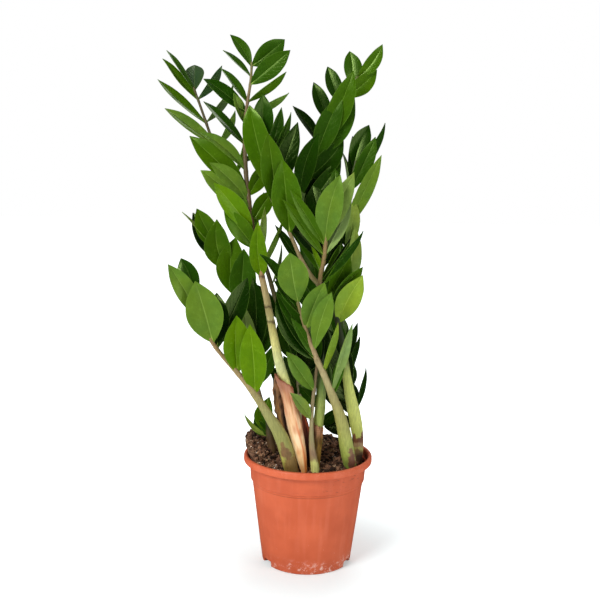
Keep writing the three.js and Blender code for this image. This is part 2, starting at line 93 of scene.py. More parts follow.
surround = bpy.data.worlds.new("surround")
bpy.context.scene.world = surround
surround.use_nodes = True
air = surround.node_tree
backdrop = air.nodes["Background"]
backdrop.inputs["Color"].default_value = (1, 1, 1, 1)
paths = air.nodes.new("ShaderNodeLightPath")
toward = air.nodes.new("ShaderNodeTexCoord")
parts = air.nodes.new("ShaderNodeSeparateXYZ")
dimmed = air.nodes.new("ShaderNodeMath")
dimmed.operation = "MULTIPLY"
depth = ramp(air, parts.outputs["Y"], From_Min=-0.55, From_Max=0.6, To_Min=ROOM_FRONT, To_Max=ROOM_BACK)
high = ramp(air, parts.outputs["Z"], From_Min=0.25, From_Max=0.95, To_Min=ROOM_GLOSS, To_Max=GLOSS_OVERHEAD)
gloss = ramp(air, paths.outputs["Is Glossy Ray"], To_Min=1.0)
level = ramp(air, paths.outputs["Is Camera Ray"], To_Max=1.0)
for source, target in (
    (toward.outputs["Generated"], parts.inputs["Vector"]),
    (high.outputs["Result"], gloss.inputs["To Max"]),
    (depth.outputs["Result"], dimmed.inputs[0]),
    (gloss.outputs["Result"], dimmed.inputs[1]),
    (dimmed.outputs["Value"], level.inputs["To Min"]),
    (level.outputs["Result"], backdrop.inputs["Strength"]),
):
    air.links.new(source, target)

FLOOR_NEAR = 0.31  # the floor's own glow beside the pot; it rises to full white away from it
FLOOR_FADE = (0.06, 0.32)  # how far from the pot's axis it begins and ends to rise, in metres
bpy.ops.object.select_all(action="DESELECT")
bpy.ops.mesh.primitive_plane_add(size=16, location=(0, 0, -0.0003))
floor = bpy.context.object
floor.name = "floor"
floor_paint = bpy.data.materials.new("floor paint")
floor_paint.use_nodes = True
matt = floor_paint.node_tree.nodes["Principled BSDF"]
matt.inputs["Base Color"].default_value = (0.69, 0.79, 0.8, 1)
matt.inputs["Roughness"].default_value = 0.9
matt.inputs["Specular IOR Level"].default_value = 0.1
matt.inputs["Emission Color"].default_value = (1, 1, 1, 1)
matt.inputs["Emission Strength"].default_value = 1.0
spot = floor_paint.node_tree.nodes.new("ShaderNodeTexCoord")
away = floor_paint.node_tree.nodes.new("ShaderNodeVectorMath")
away.operation = "LENGTH"
fade = {"From_Min": FLOOR_FADE[0], "From_Max": FLOOR_FADE[1], "To_Min": FLOOR_NEAR, "To_Max": 1.0}
glow = ramp(floor_paint.node_tree, away.outputs["Value"], **fade)
glow.interpolation_type = "SMOOTHSTEP"
floor_paint.node_tree.links.new(spot.outputs["Object"], away.inputs[0])
floor_paint.node_tree.links.new(glow.outputs["Result"], matt.inputs["Emission Color"])
floor.data.materials.append(floor_paint)
floor.visible_glossy = False

# ---------- pot ----------
# The pot is thin polypropylene, moulded in one piece with a stepped wall and a heavy turned rim. It is
# spun from its section, and then three drain pockets are pressed into the corner of its foot. Lime marks
# its foot, and scuffs mark its upper band.
RIM_R = 85
POT_H = 145
FOOT_R = 59.1
STEP_Z = 110.6
WALL = 1.6
POT_SECTION = [
    (0, 0), (FOOT_R - 1, 0), (FOOT_R + 0.2, 1.2), (73.7, STEP_Z), (75.5, STEP_Z + 1.1), (77.3, 134.6),
    (78.4, 135.3), (RIM_R - 0.9, 135.5), (RIM_R, 136.6), (RIM_R, 142.6), (RIM_R - 0.9, 144.4),
    (RIM_R - 2.4, POT_H),
    (RIM_R - 4.2, POT_H - 0.2), (79.7, 143.6), (79.2, 136.5), (75.7, 133.6), (73.9, STEP_Z + 1.9),
    (72.1, STEP_Z - 0.6), (FOOT_R - WALL + 0.5, 3.4), (FOOT_R - WALL - 1, 2), (0, 2),
]
POCKETS = (92, 208, 336)
POCKET_HALF = 11
POCKET_H = 8
POCKET_R = 50


def select_only(piece):
    bpy.ops.object.select_all(action="DESELECT")
    piece.select_set(True)
    bpy.context.view_layer.objects.active = piece


def bare_object(name, points, faces, edges=()):
    """A new selected and active object of points in millimetres."""
    shape = bpy.data.meshes.new(name)
    shape.from_pydata([Vector(p) / 1000 for p in points], edges, faces)
    made = bpy.data.objects.new(name, shape)
    bpy.context.collection.objects.link(made)
    select_only(made)
    return made


def strips(rows, columns, closed=False):
    """The faces between rows of points that follow one another."""
    faces = []
    for a in range(0, (rows - 1) * columns, columns):
        b = a + columns
        for j in range(columns if closed else columns - 1):
            k = (j + 1) % columns
            faces.append((a + j, a + k, b + k, b + j))
    return faces


def ring_block(r0, r1, z0, z1, middle, spread):
    """A block bent round the pot's axis, between two radii and two heights."""
    points = []
    steps = 8
    for i in range(steps + 1):
        a = math.radians(middle - spread + 2 * spread * i / steps)
        section = ((r0, z0), (r0, z1), (r1, z1), (r1, z0))
        points += [(r * math.cos(a), r * math.sin(a), z) for r, z in section]
    ends = [(3, 2, 1, 0), tuple(4 * steps + j for j in range(4))]
    return bare_object("pocket tool", points, strips(steps + 1, 4, closed=True) + ends)


def cut(piece, operation, tool):
    change = piece.modifiers.new("pocket", "BOOLEAN")
    change.operation = operation
    change.object = tool
    change.solver = "EXACT"
    select_only(piece)
    bpy.ops.object.modifier_apply(modifier=change.name)
    bpy.data.objects.remove(tool)


section_edges = [(i, i + 1) for i in range(len(POT_SECTION) - 1)]
pot = bare_object("nursery_pot", [(r, 0, z) for r, z in POT_SECTION], [], section_edges)
bpy.ops.object.mode_set(mode="EDIT")
bpy.ops.mesh.select_all(action="SELECT")
bpy.ops.mesh.spin(steps=120, angle=2 * math.pi, center=(0, 0, 0), axis=(0, 0, 1))
bpy.ops.mesh.select_all(action="SELECT")
bpy.ops.mesh.remove_doubles(threshold=0.00001)
bpy.ops.mesh.normals_make_consistent(inside=False)
bpy.ops.object.mode_set(mode="OBJECT")
soften = pot.modifiers.new("soft corners", "BEVEL")
soften.width = 0.0006
soften.segments = 2
soften.limit_method = "ANGLE"
soften.angle_limit = math.radians(14)
bpy.ops.object.modifier_apply(modifier=soften.name)
for a in POCKETS:
    cut(pot, "UNION", ring_block(POCKET_R - WALL, FOOT_R + 0.3, 1, POCKET_H + WALL, a, POCKET_HALF + 1.6))
    cut(pot, "DIFFERENCE", ring_block(POCKET_R, FOOT_R + 6, -1, POCKET_H, a, POCKET_HALF))
    cut(pot, "DIFFERENCE", ring_block(POCKET_R - 5, POCKET_R + 1, 3.6, POCKET_H - 1.6, a, 5))
bpy.ops.object.shade_smooth_by_angle(angle=math.radians(32))


def seen(r, g, b):
    """A colour as the eye sees it, 0 to 255, as the light that the surface gives back."""
    shares = (v / 255 for v in (r, g, b))
    return tuple(v / 12.92 if v < 0.0404 else ((v + 0.055) / 1.055) ** 2.4 for v in shares) + (1,)


class Wire:
    """An output of a material's node that arithmetic works on."""

    def __init__(self, finish, socket):
        self.finish, self.socket = finish, socket

    def sum(self, operation, *terms):
        return self.finish.node("Math", {"operation": operation}, dict(enumerate(terms)))

    def __abs__(self):
        return self.sum("ABSOLUTE", self)

    def step(self, low, high):
        """0 below low, 1 above high and smooth between."""
        settings = {"interpolation_type": "SMOOTHSTEP"}
        return self.finish.node("MapRange", settings, {"Value": self, "From Min": low, "From Max": high})


for sign, operation in (("add", "ADD"), ("sub", "SUBTRACT"), ("mul", "MULTIPLY")):
    setattr(Wire, f"__{sign}__", lambda a, b, act=operation: a.sum(act, a, b))
    setattr(Wire, f"__r{sign}__", lambda a, b, act=operation: a.sum(act, b, a))


class Finish:
    """A surface finish that is put together from nodes."""

    def __init__(self, name):
        self.material = bpy.data.materials.new(name)
        self.material.use_nodes = True
        self.tree = self.material.node_tree
        self.coat = self.tree.nodes["Principled BSDF"]

    def node(self, kind, settings=None, sockets=None, output=None):
        made = self.tree.nodes.new("ShaderNode" + kind)
        for key, value in (settings or {}).items():
            setattr(made, key, value)
        for key, value in (sockets or {}).items():
            named = [s for s in made.inputs if s.enabled and s.name == key]
            socket = named[0] if named else made.inputs[key]
            if isinstance(value, Wire):
                self.tree.links.new(value.socket, socket)
            else:
                socket.default_value = value
        outputs = [s for s in made.outputs if s.enabled]
        return Wire(self, [s for s in outputs if s.name == output][0] if output else outputs[0])

    def place(self, scale=(1, 1, 1)):
        at = self.node("TexCoord", output="Object")
        return self.node("Mapping", None, {"Vector": at, "Scale": scale})

    def noise(self, size, detail=3, stretch=(1, 1, 1), roughness=0.5):
        """Clouds whose patches are about size millimetres across."""
        at = self.place(stretch)
        return self.clouds(at, 1000 / size, detail, roughness)

    def clouds(self, at, scale, detail, roughness=0.5):
        sockets = {"Vector": at, "Scale": scale, "Detail": detail, "Roughness": roughness}
        return self.node("TexNoise", None, sockets, "Fac")

    def tint(self):
        """The colours that tint_points gave the mesh."""
        return self.node("VertexColor", {"layer_name": "tint"}, output="Color")

    def mix(self, share, a, b, kind="MIX"):
        settings = {"data_type": "RGBA", "blend_type": kind}
        return self.node("Mix", settings, {"Factor": share, "A": a, "B": b}, "Result")

    def times(self, a, b):
        return self.mix(1.0, a, b, "MULTIPLY")

    def bump(self, height, depth, under=None):
        """Relief of depth millimetres."""
        sockets = {"Height": height, "Distance": depth / 1000, "Strength": 1.0}
        if under:
            sockets["Normal"] = under
        return self.node("Bump", None, sockets)

    def set(self, **sockets):
        for key, value in sockets.items():
            socket = self.coat.inputs[key.replace("_", " ")]
            if isinstance(value, Wire):
                self.tree.links.new(value.socket, socket)
            else:
                socket.default_value = value


plastic = Finish("terracotta plastic")
height = plastic.node("SeparateXYZ", None, {"Vector": plastic.place()}, "Z") * 1000
cloud = plastic.noise(38, 3)
drawn = plastic.noise(5, 4, (1, 1, 0.08))
band = plastic.noise(12, 1, (1, 1, 0.02))
body = plastic.mix(cloud.step(0.3, 0.72), seen(196, 87, 51), seen(210, 98, 60))
body = plastic.mix(drawn.step(0.5, 0.8) * 0.1 + band.step(0.52, 0.68) * 0.09, body, seen(236, 142, 112))
low_wall = 1 - height.step(3, 24)
lime = plastic.noise(8, 8, (1, 1, 1.2), 0.8).step(0.5, 0.6) * low_wall
lime = lime * plastic.noise(20, 2).step(0.4, 0.58)
lime = lime + plastic.noise(2.2, 5, (1, 1, 0.35), 0.7).step(0.66, 0.74) * (1 - height.step(14, 90)) * 0.45
body = plastic.mix(lime * 0.9, body, seen(246, 214, 200))
across = plastic.node("SeparateXYZ", None, {"Vector": plastic.place()}, "X") * 1000
scuff = plastic.noise(7, 6, (1, 1, 3), 0.75).step(0.56, 0.66)
scuff = scuff * height.step(112, 116) * (1 - height.step(131, 134))
body = plastic.mix(height.step(106, 112) * (1 - height.step(134, 137)) * 0.1, body, seen(150, 60, 38))
body = plastic.mix(scuff * (across.step(12, 40) * 0.6 + 0.1), body, seen(96, 52, 42))
# Painted shade: a thin dark line just below the step, darker at the front, and one under the rim's lip.
front = 1 - abs(across).step(20, 64)
for line, dark in ((STEP_Z - 2.4, 0.15 + 0.4 * front), (134.9, 0.4)):
    body = plastic.mix((1 - abs(height - line).step(0.2, 0.8)) * dark, body, seen(134, 54, 34))
# Light scuffs on the rim's lip, partly real wear and partly a painted highlight along its top.
rim_wear_and_highlight = plastic.noise(2.6, 6, (1, 1, 1.3), 0.8).step(0.5, 0.72) * height.step(136, 143) * 0.4
body = plastic.mix(rim_wear_and_highlight, body, seen(234, 152, 126))
level_place = plastic.node("VectorMath", {"operation": "MULTIPLY"}, {0: plastic.place(), 1: (1, 1, 0)})
radius = plastic.node("VectorMath", {"operation": "LENGTH"}, {0: level_place}, "Value") * 1000
mid_wall = 74.7 + 0.085 * (height - 111) + 4.4 * height.step(134.8, 136.2)
# Painted shade on the inner wall above the soil, up under the rim's top.
inside = (1 - radius.step(mid_wall - 0.2, mid_wall + 0.2)) * height.step(114, 118)
inner_wall_shade = inside * (1 - height.step(POT_H - 9, POT_H + 3)) * (0.6 + 0.4 * cloud)
body = plastic.mix(inner_wall_shade, body, seen(52, 28, 18))
# Painted shade inside the drain pockets.
pocket = (1 - radius.step(FOOT_R - 2.4, FOOT_R - 1.6)) * (1 - height.step(POCKET_H + 1, POCKET_H + 2))
body = plastic.mix(pocket * 0.85, body, seen(84, 34, 22))
grain = plastic.noise(0.8, 2)
plastic.set(
    Base_Color=body,
    Roughness=0.4 + 0.1 * cloud + 0.2 * lime,
    Normal=plastic.bump(grain + drawn * 1.5 + lime * 0.8, 0.05),
    Specular_IOR_Level=0.32,
)
pot.data.materials.append(plastic.material)
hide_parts("pot")
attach(pot, "root")

# ---------- soil ----------
# Peat with bark fibres and pale chips. It is heaped over the rim at the left and washed down at the
# right. The bed is one closed surface, and loose crumbs, fibres and chips lie on it, half sunk.
SOIL_SIDES = 200
HEAP_STEPS = (0.3, 0.55, 0.8, 1)  # the rings between the pot's lip and the top edge of the bed
CRUMB_COUNT = 5400


def soil_height(x, y):
    r = math.hypot(x, y)
    z = 140.5 + 0.07 * y
    z += 30 * math.exp(-(((x + 69) / 22) ** 2) - ((y - 2) / 34) ** 2)  # heaped at the left
    z += 5 * math.exp(-(((x - 18) / 26) ** 2) - ((y - 42) / 30) ** 2)  # a low mound at the back
    z -= 11 * math.exp(-(((x - 80) / 17) ** 2) - ((y + 4) / 42) ** 2)  # washed down at the right
    z -= 2.5 * math.exp(-(((r - 78) / 7) ** 2))  # sunk along the wall
    z += 1.1 * math.sin(0.31 * x + 1.3) * math.sin(0.27 * y + 0.4)
    z += 0.8 * math.sin(0.63 * x - 0.51 * y)
    return z


def soil_edge(z):
    return 73.4 + 0.06 * max(0, z - 115) if z < 136.5 else 78.4


def wobble(x, y, z):
    """Smooth noise about zero."""
    return noise.noise(Vector((x, y, z)))


def crumble(p):
    """How far the peat's lumps stand out at a point."""
    q = Vector(p)
    return 2.4 * noise.noise(q / 8) + 1.9 * noise.noise(q / 3.6) + 0.9 * noise.noise(q / 1.6)


def soil_rim(x, y):
    """The top edge of the bed in the direction (x, y): its radius and height."""
    h = soil_height(76 * x, 76 * y)
    out = min(1, (h - POT_H - 6) / 8) * 5.5 if h > POT_H + 6 else 0
    return (76.5 if out > 0 else soil_edge(h)) + out, max(h, POT_H + 2 if h > POT_H + 6 else 0)


def bed_height(x, y, r, rim):
    """The bed's height at the radius r in the direction (x, y), drawn up to its rim, without its lumps."""
    rim_r, rim_z = rim
    return soil_height(r * x, r * y) + (rim_z - soil_height(rim_r * x, rim_r * y)) * max(0, (r - 66) / 12)


turns = [2 * math.pi * j / SOIL_SIDES for j in range(SOIL_SIDES)]
round_the_pot = [(math.cos(a), math.sin(a)) for a in turns]
rings = []
for r, z in ((57, POCKET_H + WALL + 0.6), (71.1, 109.4), (72.9, 113.5)):
    rings.append([(r * x, r * y, z) for x, y in round_the_pot])
low_edge, lip_edge, *heap_edges = [[] for _ in range(2 + len(HEAP_STEPS))]
for x, y in round_the_pot:
    h = soil_height(76 * x, 76 * y)
    low_z, lip_z = min(134, h - 2.5), min(h - 1.5, POT_H + 0.6)
    low_r, lip_r = soil_edge(low_z), soil_edge(lip_z)
    low_edge.append((low_r * x, low_r * y, low_z))
    lip_edge.append((lip_r * x, lip_r * y, lip_z))
    r, z = soil_rim(x, y)
    rough = min(1, max(0, h - POT_H - 5) / 8)
    for t, edge in zip(HEAP_STEPS, heap_edges):
        rr, zz = lip_r + (r - lip_r) * t, lip_z + (z - lip_z) * t
        rr += rough * (0.6 + 1.2 * crumble((rr * x, rr * y, zz)))
        edge.append((rr * x, rr * y, zz))
rings += [low_edge, lip_edge, *heap_edges]
for r in [*range(74, 0, -1), 0.4]:
    ring = []
    for x, y in round_the_pot:
        rim = soil_rim(x, y)
        rr = r * rim[0] / 76
        z = bed_height(x, y, rr, rim)
        ring.append((rr * x, rr * y, z + crumble((rr * x, rr * y, z)) * min(1, (76 - r) / 4)))
    rings.append(ring)
points = [p for ring in rings for p in ring]
ends = [tuple(reversed(range(SOIL_SIDES))), tuple(range(len(points) - SOIL_SIDES, len(points)))]
bed = bare_object("peat_bed", points, strips(len(rings), SOIL_SIDES, closed=True) + ends)
bpy.ops.object.shade_smooth()

peat = Finish("peat")
lumps = peat.noise(2.4, 5, roughness=0.7)
patches = peat.noise(14, 3)
earth = peat.mix(lumps.step(0.36, 0.62), seen(20, 12, 8), seen(146, 108, 82))
earth = peat.mix(patches.step(0.5, 0.75) * 0.35, earth, seen(62, 38, 26))
flecks = peat.noise(1.3, 2, roughness=0.8).step(0.62, 0.7)
earth = peat.mix(flecks * 0.5, earth, seen(150, 122, 96))
peat.set(Base_Color=earth, Roughness=0.95, Normal=peat.bump(lumps, 2.0), Specular_IOR_Level=0.2)
bed.data.materials.append(peat.material)
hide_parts("soil")
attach(bed, "root")

bpy.ops.object.select_all(action="DESELECT")
bpy.ops.mesh.primitive_ico_sphere_add(subdivisions=1, radius=1)
crumb_blank = bpy.context.object
crumb_points = [v.co.copy() for v in crumb_blank.data.vertices]
crumb_faces = [tuple(p.vertices) for p in crumb_blank.data.polygons]
bpy.data.objects.remove(crumb_blank)
CRUMB_KINDS = (
    # share, length, width, thickness, and the colours it is found in
    (0.32, (1.6, 4.4), 0.85, 0.7, ((92, 62, 45), (136, 98, 74), (42, 26, 18), (168, 128, 98))),
    (0.4, (3.0, 7.0), 0.12, 0.12, ((214, 176, 140), (238, 208, 176), (178, 136, 104), (140, 102, 78))),
    (0.12, (1.2, 2.6), 0.75, 0.5, ((222, 196, 172), (244, 232, 218), (196, 156, 128))),
    (0.16, (3.6, 7.0), 0.8, 0.7, ((96, 64, 46), (134, 96, 72), (50, 32, 22))),
)
scatter = random.Random(29)
points, faces, tints = [], [], []
for _ in range(CRUMB_COUNT):
    pick = scatter.random()
    for share, lengths, wide, thick, colours in CRUMB_KINDS:
        if pick < share:
            break
        pick -= share
    a = scatter.uniform(0, 2 * math.pi)
    x, y = math.cos(a), math.sin(a)
    rim = soil_rim(x, y)
    rr = rim[0] * math.sqrt(scatter.random()) * 0.985
    size = scatter.uniform(*lengths)
    z = bed_height(x, y, rr, rim)
    z += crumble((rr * x, rr * y, z)) + 0.25 * size * thick
    tilt = Matrix.Identity(3)
    for least, most, axis in ((0, 6.3, "Z"), (-0.7, 0.7, "Y"), (-3, 3, "X")):
        tilt = tilt @ Matrix.Rotation(scatter.uniform(least, most), 3, axis)
    start = len(points)
    light = scatter.uniform(0.8, 1.15)
    colour = seen(*(min(255, c * light) for c in scatter.choice(colours)))
    for p in crumb_points:
        q = Vector((p.x * size, p.y * size * wide, p.z * size * thick)) * scatter.uniform(0.45, 0.7)
        points.append(Vector((rr * x, rr * y, z)) + tilt @ q)
        tints.extend(colour)
    faces += [tuple(start + i for i in f) for f in crumb_faces]


def tint_points(mesh, tints):
    """Colours for a mesh's points, four numbers each, under the name that the finishes read."""
    mesh.color_attributes.new("tint", "FLOAT_COLOR", "POINT").data.foreach_set("color", tints)


crumbs = bare_object("peat_crumbs", points, faces)
tint_points(crumbs.data, tints)
crumb_skin = Finish("peat crumbs")
dust = crumb_skin.noise(0.9, 4, roughness=0.7)
colour = crumb_skin.tint()
uneven = crumb_skin.mix(dust.step(0.3, 0.7), (0.6, 0.6, 0.6, 1), (1.25, 1.25, 1.25, 1))
colour = crumb_skin.times(colour, uneven)
crumb_skin.set(Base_Color=colour, Roughness=0.9, Normal=crumb_skin.bump(dust, 0.4), Specular_IOR_Level=0.25)
crumbs.data.materials.append(crumb_skin.material)
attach(crumbs, "root")

# ---------- front left frond ----------
# The frond at the front left leans out over the rim from a swollen foot, and carries the two bright
# leaflets at the front. A frond is a round fleshy stalk with two rows of waxy leaflets, and it is one
# piece, grown and not joined.
EYE_X = -13.8
EYE_Z = 516.6
EYE_AWAY = 1157.6


def place(x, z, y):
    """Where a point stands that is seen at (x, z) across the plant's middle plane and is y behind it."""
    k = 1 + y / EYE_AWAY
    return Vector((EYE_X + (x - EYE_X) * k, y, EYE_Z + (z - EYE_Z) * k))


def seen_height(p):
    return EYE_Z + (p.z - EYE_Z) / (1 + p.y / EYE_AWAY)


def seen_across(p):
    return EYE_X + (p.x - EYE_X) / (1 + p.y / EYE_AWAY)


def along(rows, z):
    """The point, radius and depth of a stalk where it is seen at height z."""
    i = 0
    while i < len(rows) - 2 and rows[i + 1][1] < z:
        i += 1
    a, b = rows[i], rows[i + 1]
    f = min(0.98, max(0, (z - a[1]) / (b[1] - a[1])))
    x, z, y, r = (p + (q - p) * f for p, q in zip(a, b))
    return place(x, z, y), r, y


def eased(rows, step):
    """Rows joined by a smooth curve, about step apart."""
    done = []
    last = len(rows) - 1
    for i in range(last):
        p, a, b, q = rows[max(0, i - 1)], rows[i], rows[i + 1], rows[min(last, i + 2)]
        parts = max(1, round(math.dist(a[:3], b[:3]) / step))
        for j in range(parts):
            t = j / parts
            done.append(tuple(
                d + 0.5 * t * (e - c + t * (2 * c - 5 * d + 4 * e - f + t * (3 * d - 3 * e + f - c)))
                for c, d, e, f in zip(p, a, b, q)
            ))
    return done + [tuple(rows[last])]


def blend(a, b, f):
    return tuple(p + (q - p) * f for p, q in zip(a, b))


def colour_at(stops, z):
    """The colour of a stalk at a height, from stops of height and colour."""
    for (z0, c0), (z1, c1) in zip(stops, stops[1:]):
        if z < z1:
            return blend(seen(*c0), seen(*c1), max(0, min(1, (z - z0) / (z1 - z0))))
    return seen(*stops[-1][1])


stalk_skin = Finish("stalk skin")
tint = stalk_skin.tint()
streak = stalk_skin.noise(1.6, 4, (1, 1, 0.12), 0.6)
fleck = stalk_skin.noise(1.1, 2, (1, 1, 0.4)).step(0.66, 0.74)
soft = stalk_skin.noise(7, 3)
shade = stalk_skin.mix(streak.step(0.25, 0.8), (0.78, 0.78, 0.74, 1), (1.2, 1.19, 1.16, 1))
skin = stalk_skin.times(tint, shade)
skin = stalk_skin.mix(fleck * 0.35, skin, seen(84, 76, 36))
stalk_skin.set(
    Base_Color=skin,
    Roughness=0.38 + 0.22 * soft,
    Normal=stalk_skin.bump(streak + 0.4 * soft, 0.22),
    Specular_IOR_Level=0.45,
)


def leaf_finish(name, under):
    """The waxy face of a leaflet: u is 0 to 1 across it and v is 0 to 1 from its foot to its tip."""
    wax = Finish(name)
    place_on = wax.node("UVMap", {"uv_map": "leaf"})
    u = wax.node("SeparateXYZ", None, {"Vector": place_on}, "X")
    v = wax.node("SeparateXYZ", None, {"Vector": place_on}, "Y")
    tint = wax.tint()
    aside = abs(u * 2 - 1)
    wander = wax.noise(6, 2)
    low_end = 1 - v.step(0.0, 0.2)
    rib = 1 - aside.step(0.012, 0.07 - 0.045 * v + 0.4 * low_end * low_end)
    rib = rib * (1 - v.step(0.8, 1.0))
    swing = v * 60 - aside * 16 + wander * 4
    wave = swing.sum("SINE", swing)
    vein = wave.step(0.86, 1.0) * aside.step(0.03, 0.12) * (1 - aside.step(0.75, 0.98))
    rim = aside.step(0.93, 0.99)
    mottle = wax.noise(9, 3)
    if under:
        skin = wax.mix(0.45, tint, seen(138, 158, 104))
        skin = wax.mix(rib * 0.7, skin, seen(168, 182, 120))
        skin = wax.mix(vein * 0.12, skin, seen(90, 118, 60))
    else:
        bright = wax.times(tint, (1.5, 1.42, 1.5, 1))
        dull = wax.times(tint, (0.82, 0.84, 0.8, 1))
        skin = wax.mix(mottle.step(0.25, 0.75), dull, tint)
        yellower = wax.times(skin, (1.28, 1.1, 0.8, 1))
        skin = wax.mix(wax.noise(34, 2).step(0.35, 0.65) * 0.8, skin, yellower)
        skin = wax.mix(vein * 0.1, skin, bright)
        skin = wax.mix(rib * 0.65, skin, wax.times(tint, (2.0, 1.6, 2.2, 1)))
        skin = wax.mix(rib * 0.16, skin, seen(150, 176, 90))
        skin = wax.mix(rim * 0.3, skin, seen(112, 146, 56))
    skin = wax.mix(rib * low_end * 0.75, skin, seen(166, 186, 80))
    wax.set(
        Base_Color=skin,
        Roughness=(0.45 if under else 0.2) + 0.12 * mottle,
        Normal=wax.bump(vein * 0.25 + mottle * 0.5, 0.22),
        Specular_IOR_Level=0.4,
        Specular_Tint=(0.7, 1.0, 0.3, 1),
    )
    return wax.material


leaf_face = leaf_finish("leaf face", False)
leaf_back = leaf_finish("leaf back", True)

# The half width of a leaflet along its length, foot to tip, as a share of the widest.
LEAF_OUTLINE = (
    (0, 0.05), (0.04, 0.14), (0.1, 0.36), (0.3, 0.82), (0.52, 1), (0.76, 0.77), (0.9, 0.38), (1, 0.02),
)
# Leaflet tones. The darker ones, from deep to black, are partly painted shade on leaflets deep in the
# plant; light, pale, silver, grey and teal are a painted sheen; the rest are the leaflets' own greens.
LEAF_TONES_SHADE_AND_SHEEN = {
    "lime": (125, 154, 50), "fresh": (80, 117, 2), "light": (85, 117, 38), "mid": (58, 93, 4),
    "green": (43, 79, 7), "deep": (26, 60, 3), "dark": (13, 40, 1), "black": (10, 28, 6),
    "pale": (114, 138, 62), "silver": (116, 142, 82), "grey": (72, 90, 50), "teal": (46, 74, 42),
}
STALK_SIDES = 32
STALK_STEP = 1.2
LEAF_ACROSS = 10
LEAF_ALONG = 24


def outline(t):
    for i in range(len(LEAF_OUTLINE) - 1):
        (a, wa), (b, wb) = LEAF_OUTLINE[i], LEAF_OUTLINE[i + 1]
        if t <= b:
            (p, wp), (q, wq) = LEAF_OUTLINE[max(0, i - 1)], LEAF_OUTLINE[min(len(LEAF_OUTLINE) - 1, i + 2)]
            ma, mb = (wb - wp) / (b - p), (wq - wa) / (q - a)
            h, f = b - a, (t - a) / (b - a)
            return (
                wa * (2 * f**3 - 3 * f**2 + 1) + ma * h * (f**3 - 2 * f**2 + f)
                + wb * (3 * f**2 - 2 * f**3) + mb * h * (f**3 - f**2)
            )
    return LEAF_OUTLINE[-1][1]


bpy.ops.object.select_all(action="DESELECT")
bpy.ops.mesh.primitive_grid_add(x_subdivisions=LEAF_ACROSS, y_subdivisions=LEAF_ALONG, size=2)
leaf_blank = bpy.context.object
leaf_blank.name = "leaflet blank"
for v in leaf_blank.data.vertices:
    t = (v.co.y + 1) / 2
    t = 0.45 * t + 0.55 * (0.5 - 0.5 * math.cos(math.pi * t))
    v.co = (math.copysign(abs(v.co.x) ** 1.25, v.co.x), t, 0)
leaf_map = leaf_blank.data.uv_layers[0]
leaf_map.name = "leaf"
for loop, spot in zip(leaf_blank.data.loops, leaf_map.data):
    at = leaf_blank.data.vertices[loop.vertex_index].co
    spot.uv = ((at.x + 1) / 2, at.y)
leaf_blank.data.materials.append(leaf_face)
leaf_blank.data.materials.append(leaf_back)
wall = leaf_blank.modifiers.new("thickness", "SOLIDIFY")
wall.thickness = 0.02
wall.offset = 0
wall.material_offset = 1
wall.use_even_offset = False
bpy.ops.object.modifier_apply(modifier=wall.name)
leaf_form = [(v.co.x, min(1, max(0, v.co.y)), 1 if v.co.z > 0 else -1) for v in leaf_blank.data.vertices]
leaf_mesh = leaf_blank.data
bpy.data.objects.remove(leaf_blank)


def leaflet(rows, foot_z, x, z, dy, turn, width, bow, tone, late=1.0):
    """A copy of the leaflet blank, bent into its place on a stalk. Above 1, late moves its widest part
    toward the tip, and below 1 toward the foot."""
    chance = random.Random(f"{foot_z} {x} {z}")
    foot, r, y = along(rows, foot_z)
    tip = place(x, z, y + dy)
    run = tip - foot
    length = run.length
    d = run.normalized()
    w0 = d.cross(Vector((0, 1, 0))).normalized()
    n0 = w0.cross(d).normalized()
    if n0.y > 0:
        n0.negate()
    a = math.radians(turn)
    across = w0 * math.cos(a) + n0 * math.sin(a)
    up = n0 * math.cos(a) - w0 * math.sin(a)
    root = min(1.4, 0.7 * r)
    cup = chance.uniform(0.24, 0.42)
    twist = math.radians(chance.uniform(-9, 9))
    wave_high = chance.uniform(0.2, 0.55) * width / 24
    wave_turn = chance.uniform(0, 6.3)
    hook = chance.uniform(0.0, 0.03) * length
    shape = leaf_mesh.copy()
    points = []
    for s, t, side in leaf_form:
        half = max(outline(t**late) * width / 2, root * (1 - t) ** 6, 0.22)
        aside = abs(s)
        middle = foot + run * t + w0 * (4 * t * (1 - t) * bow) + up * (4 * t * (1 - t) * 0.02 * length)
        turned = twist * (t - 0.4)
        over = across * math.cos(turned) + up * math.sin(turned)
        facing = up * math.cos(turned) - across * math.sin(turned)
        lift = cup * half * (1.4 * aside - 0.4 * aside * aside)
        lift += wave_high * aside * aside * math.sin(9 * t + wave_turn + (1.2 if s > 0 else 0))
        lift -= hook * max(0, (t - 0.75) / 0.25) ** 2
        bed_in = math.exp(-((s / 0.1) ** 2)) * (1 - t) ** 0.7 * min(1, 6 * t) * min(1, half / 9)
        thick = 0.5 + 0.45 * (1 - aside) + 1.6 * max(0, 1 - t / 0.07)
        lift += side * thick / 2 - (0.4 if side > 0 else 0.6) * bed_in
        points.extend((middle + over * (s * half) + facing * lift) / 1000)
    shape.vertices.foreach_set("co", points)
    colour = seen(*LEAF_TONES_SHADE_AND_SHEEN[tone])
    light = chance.uniform(0.92, 1.08)
    tint_points(shape, [v * light for v in colour[:3] + (1,)] * len(leaf_form))
    shape.update()
    made = bpy.data.objects.new("leaflet", shape)
    bpy.context.collection.objects.link(made)
    return made


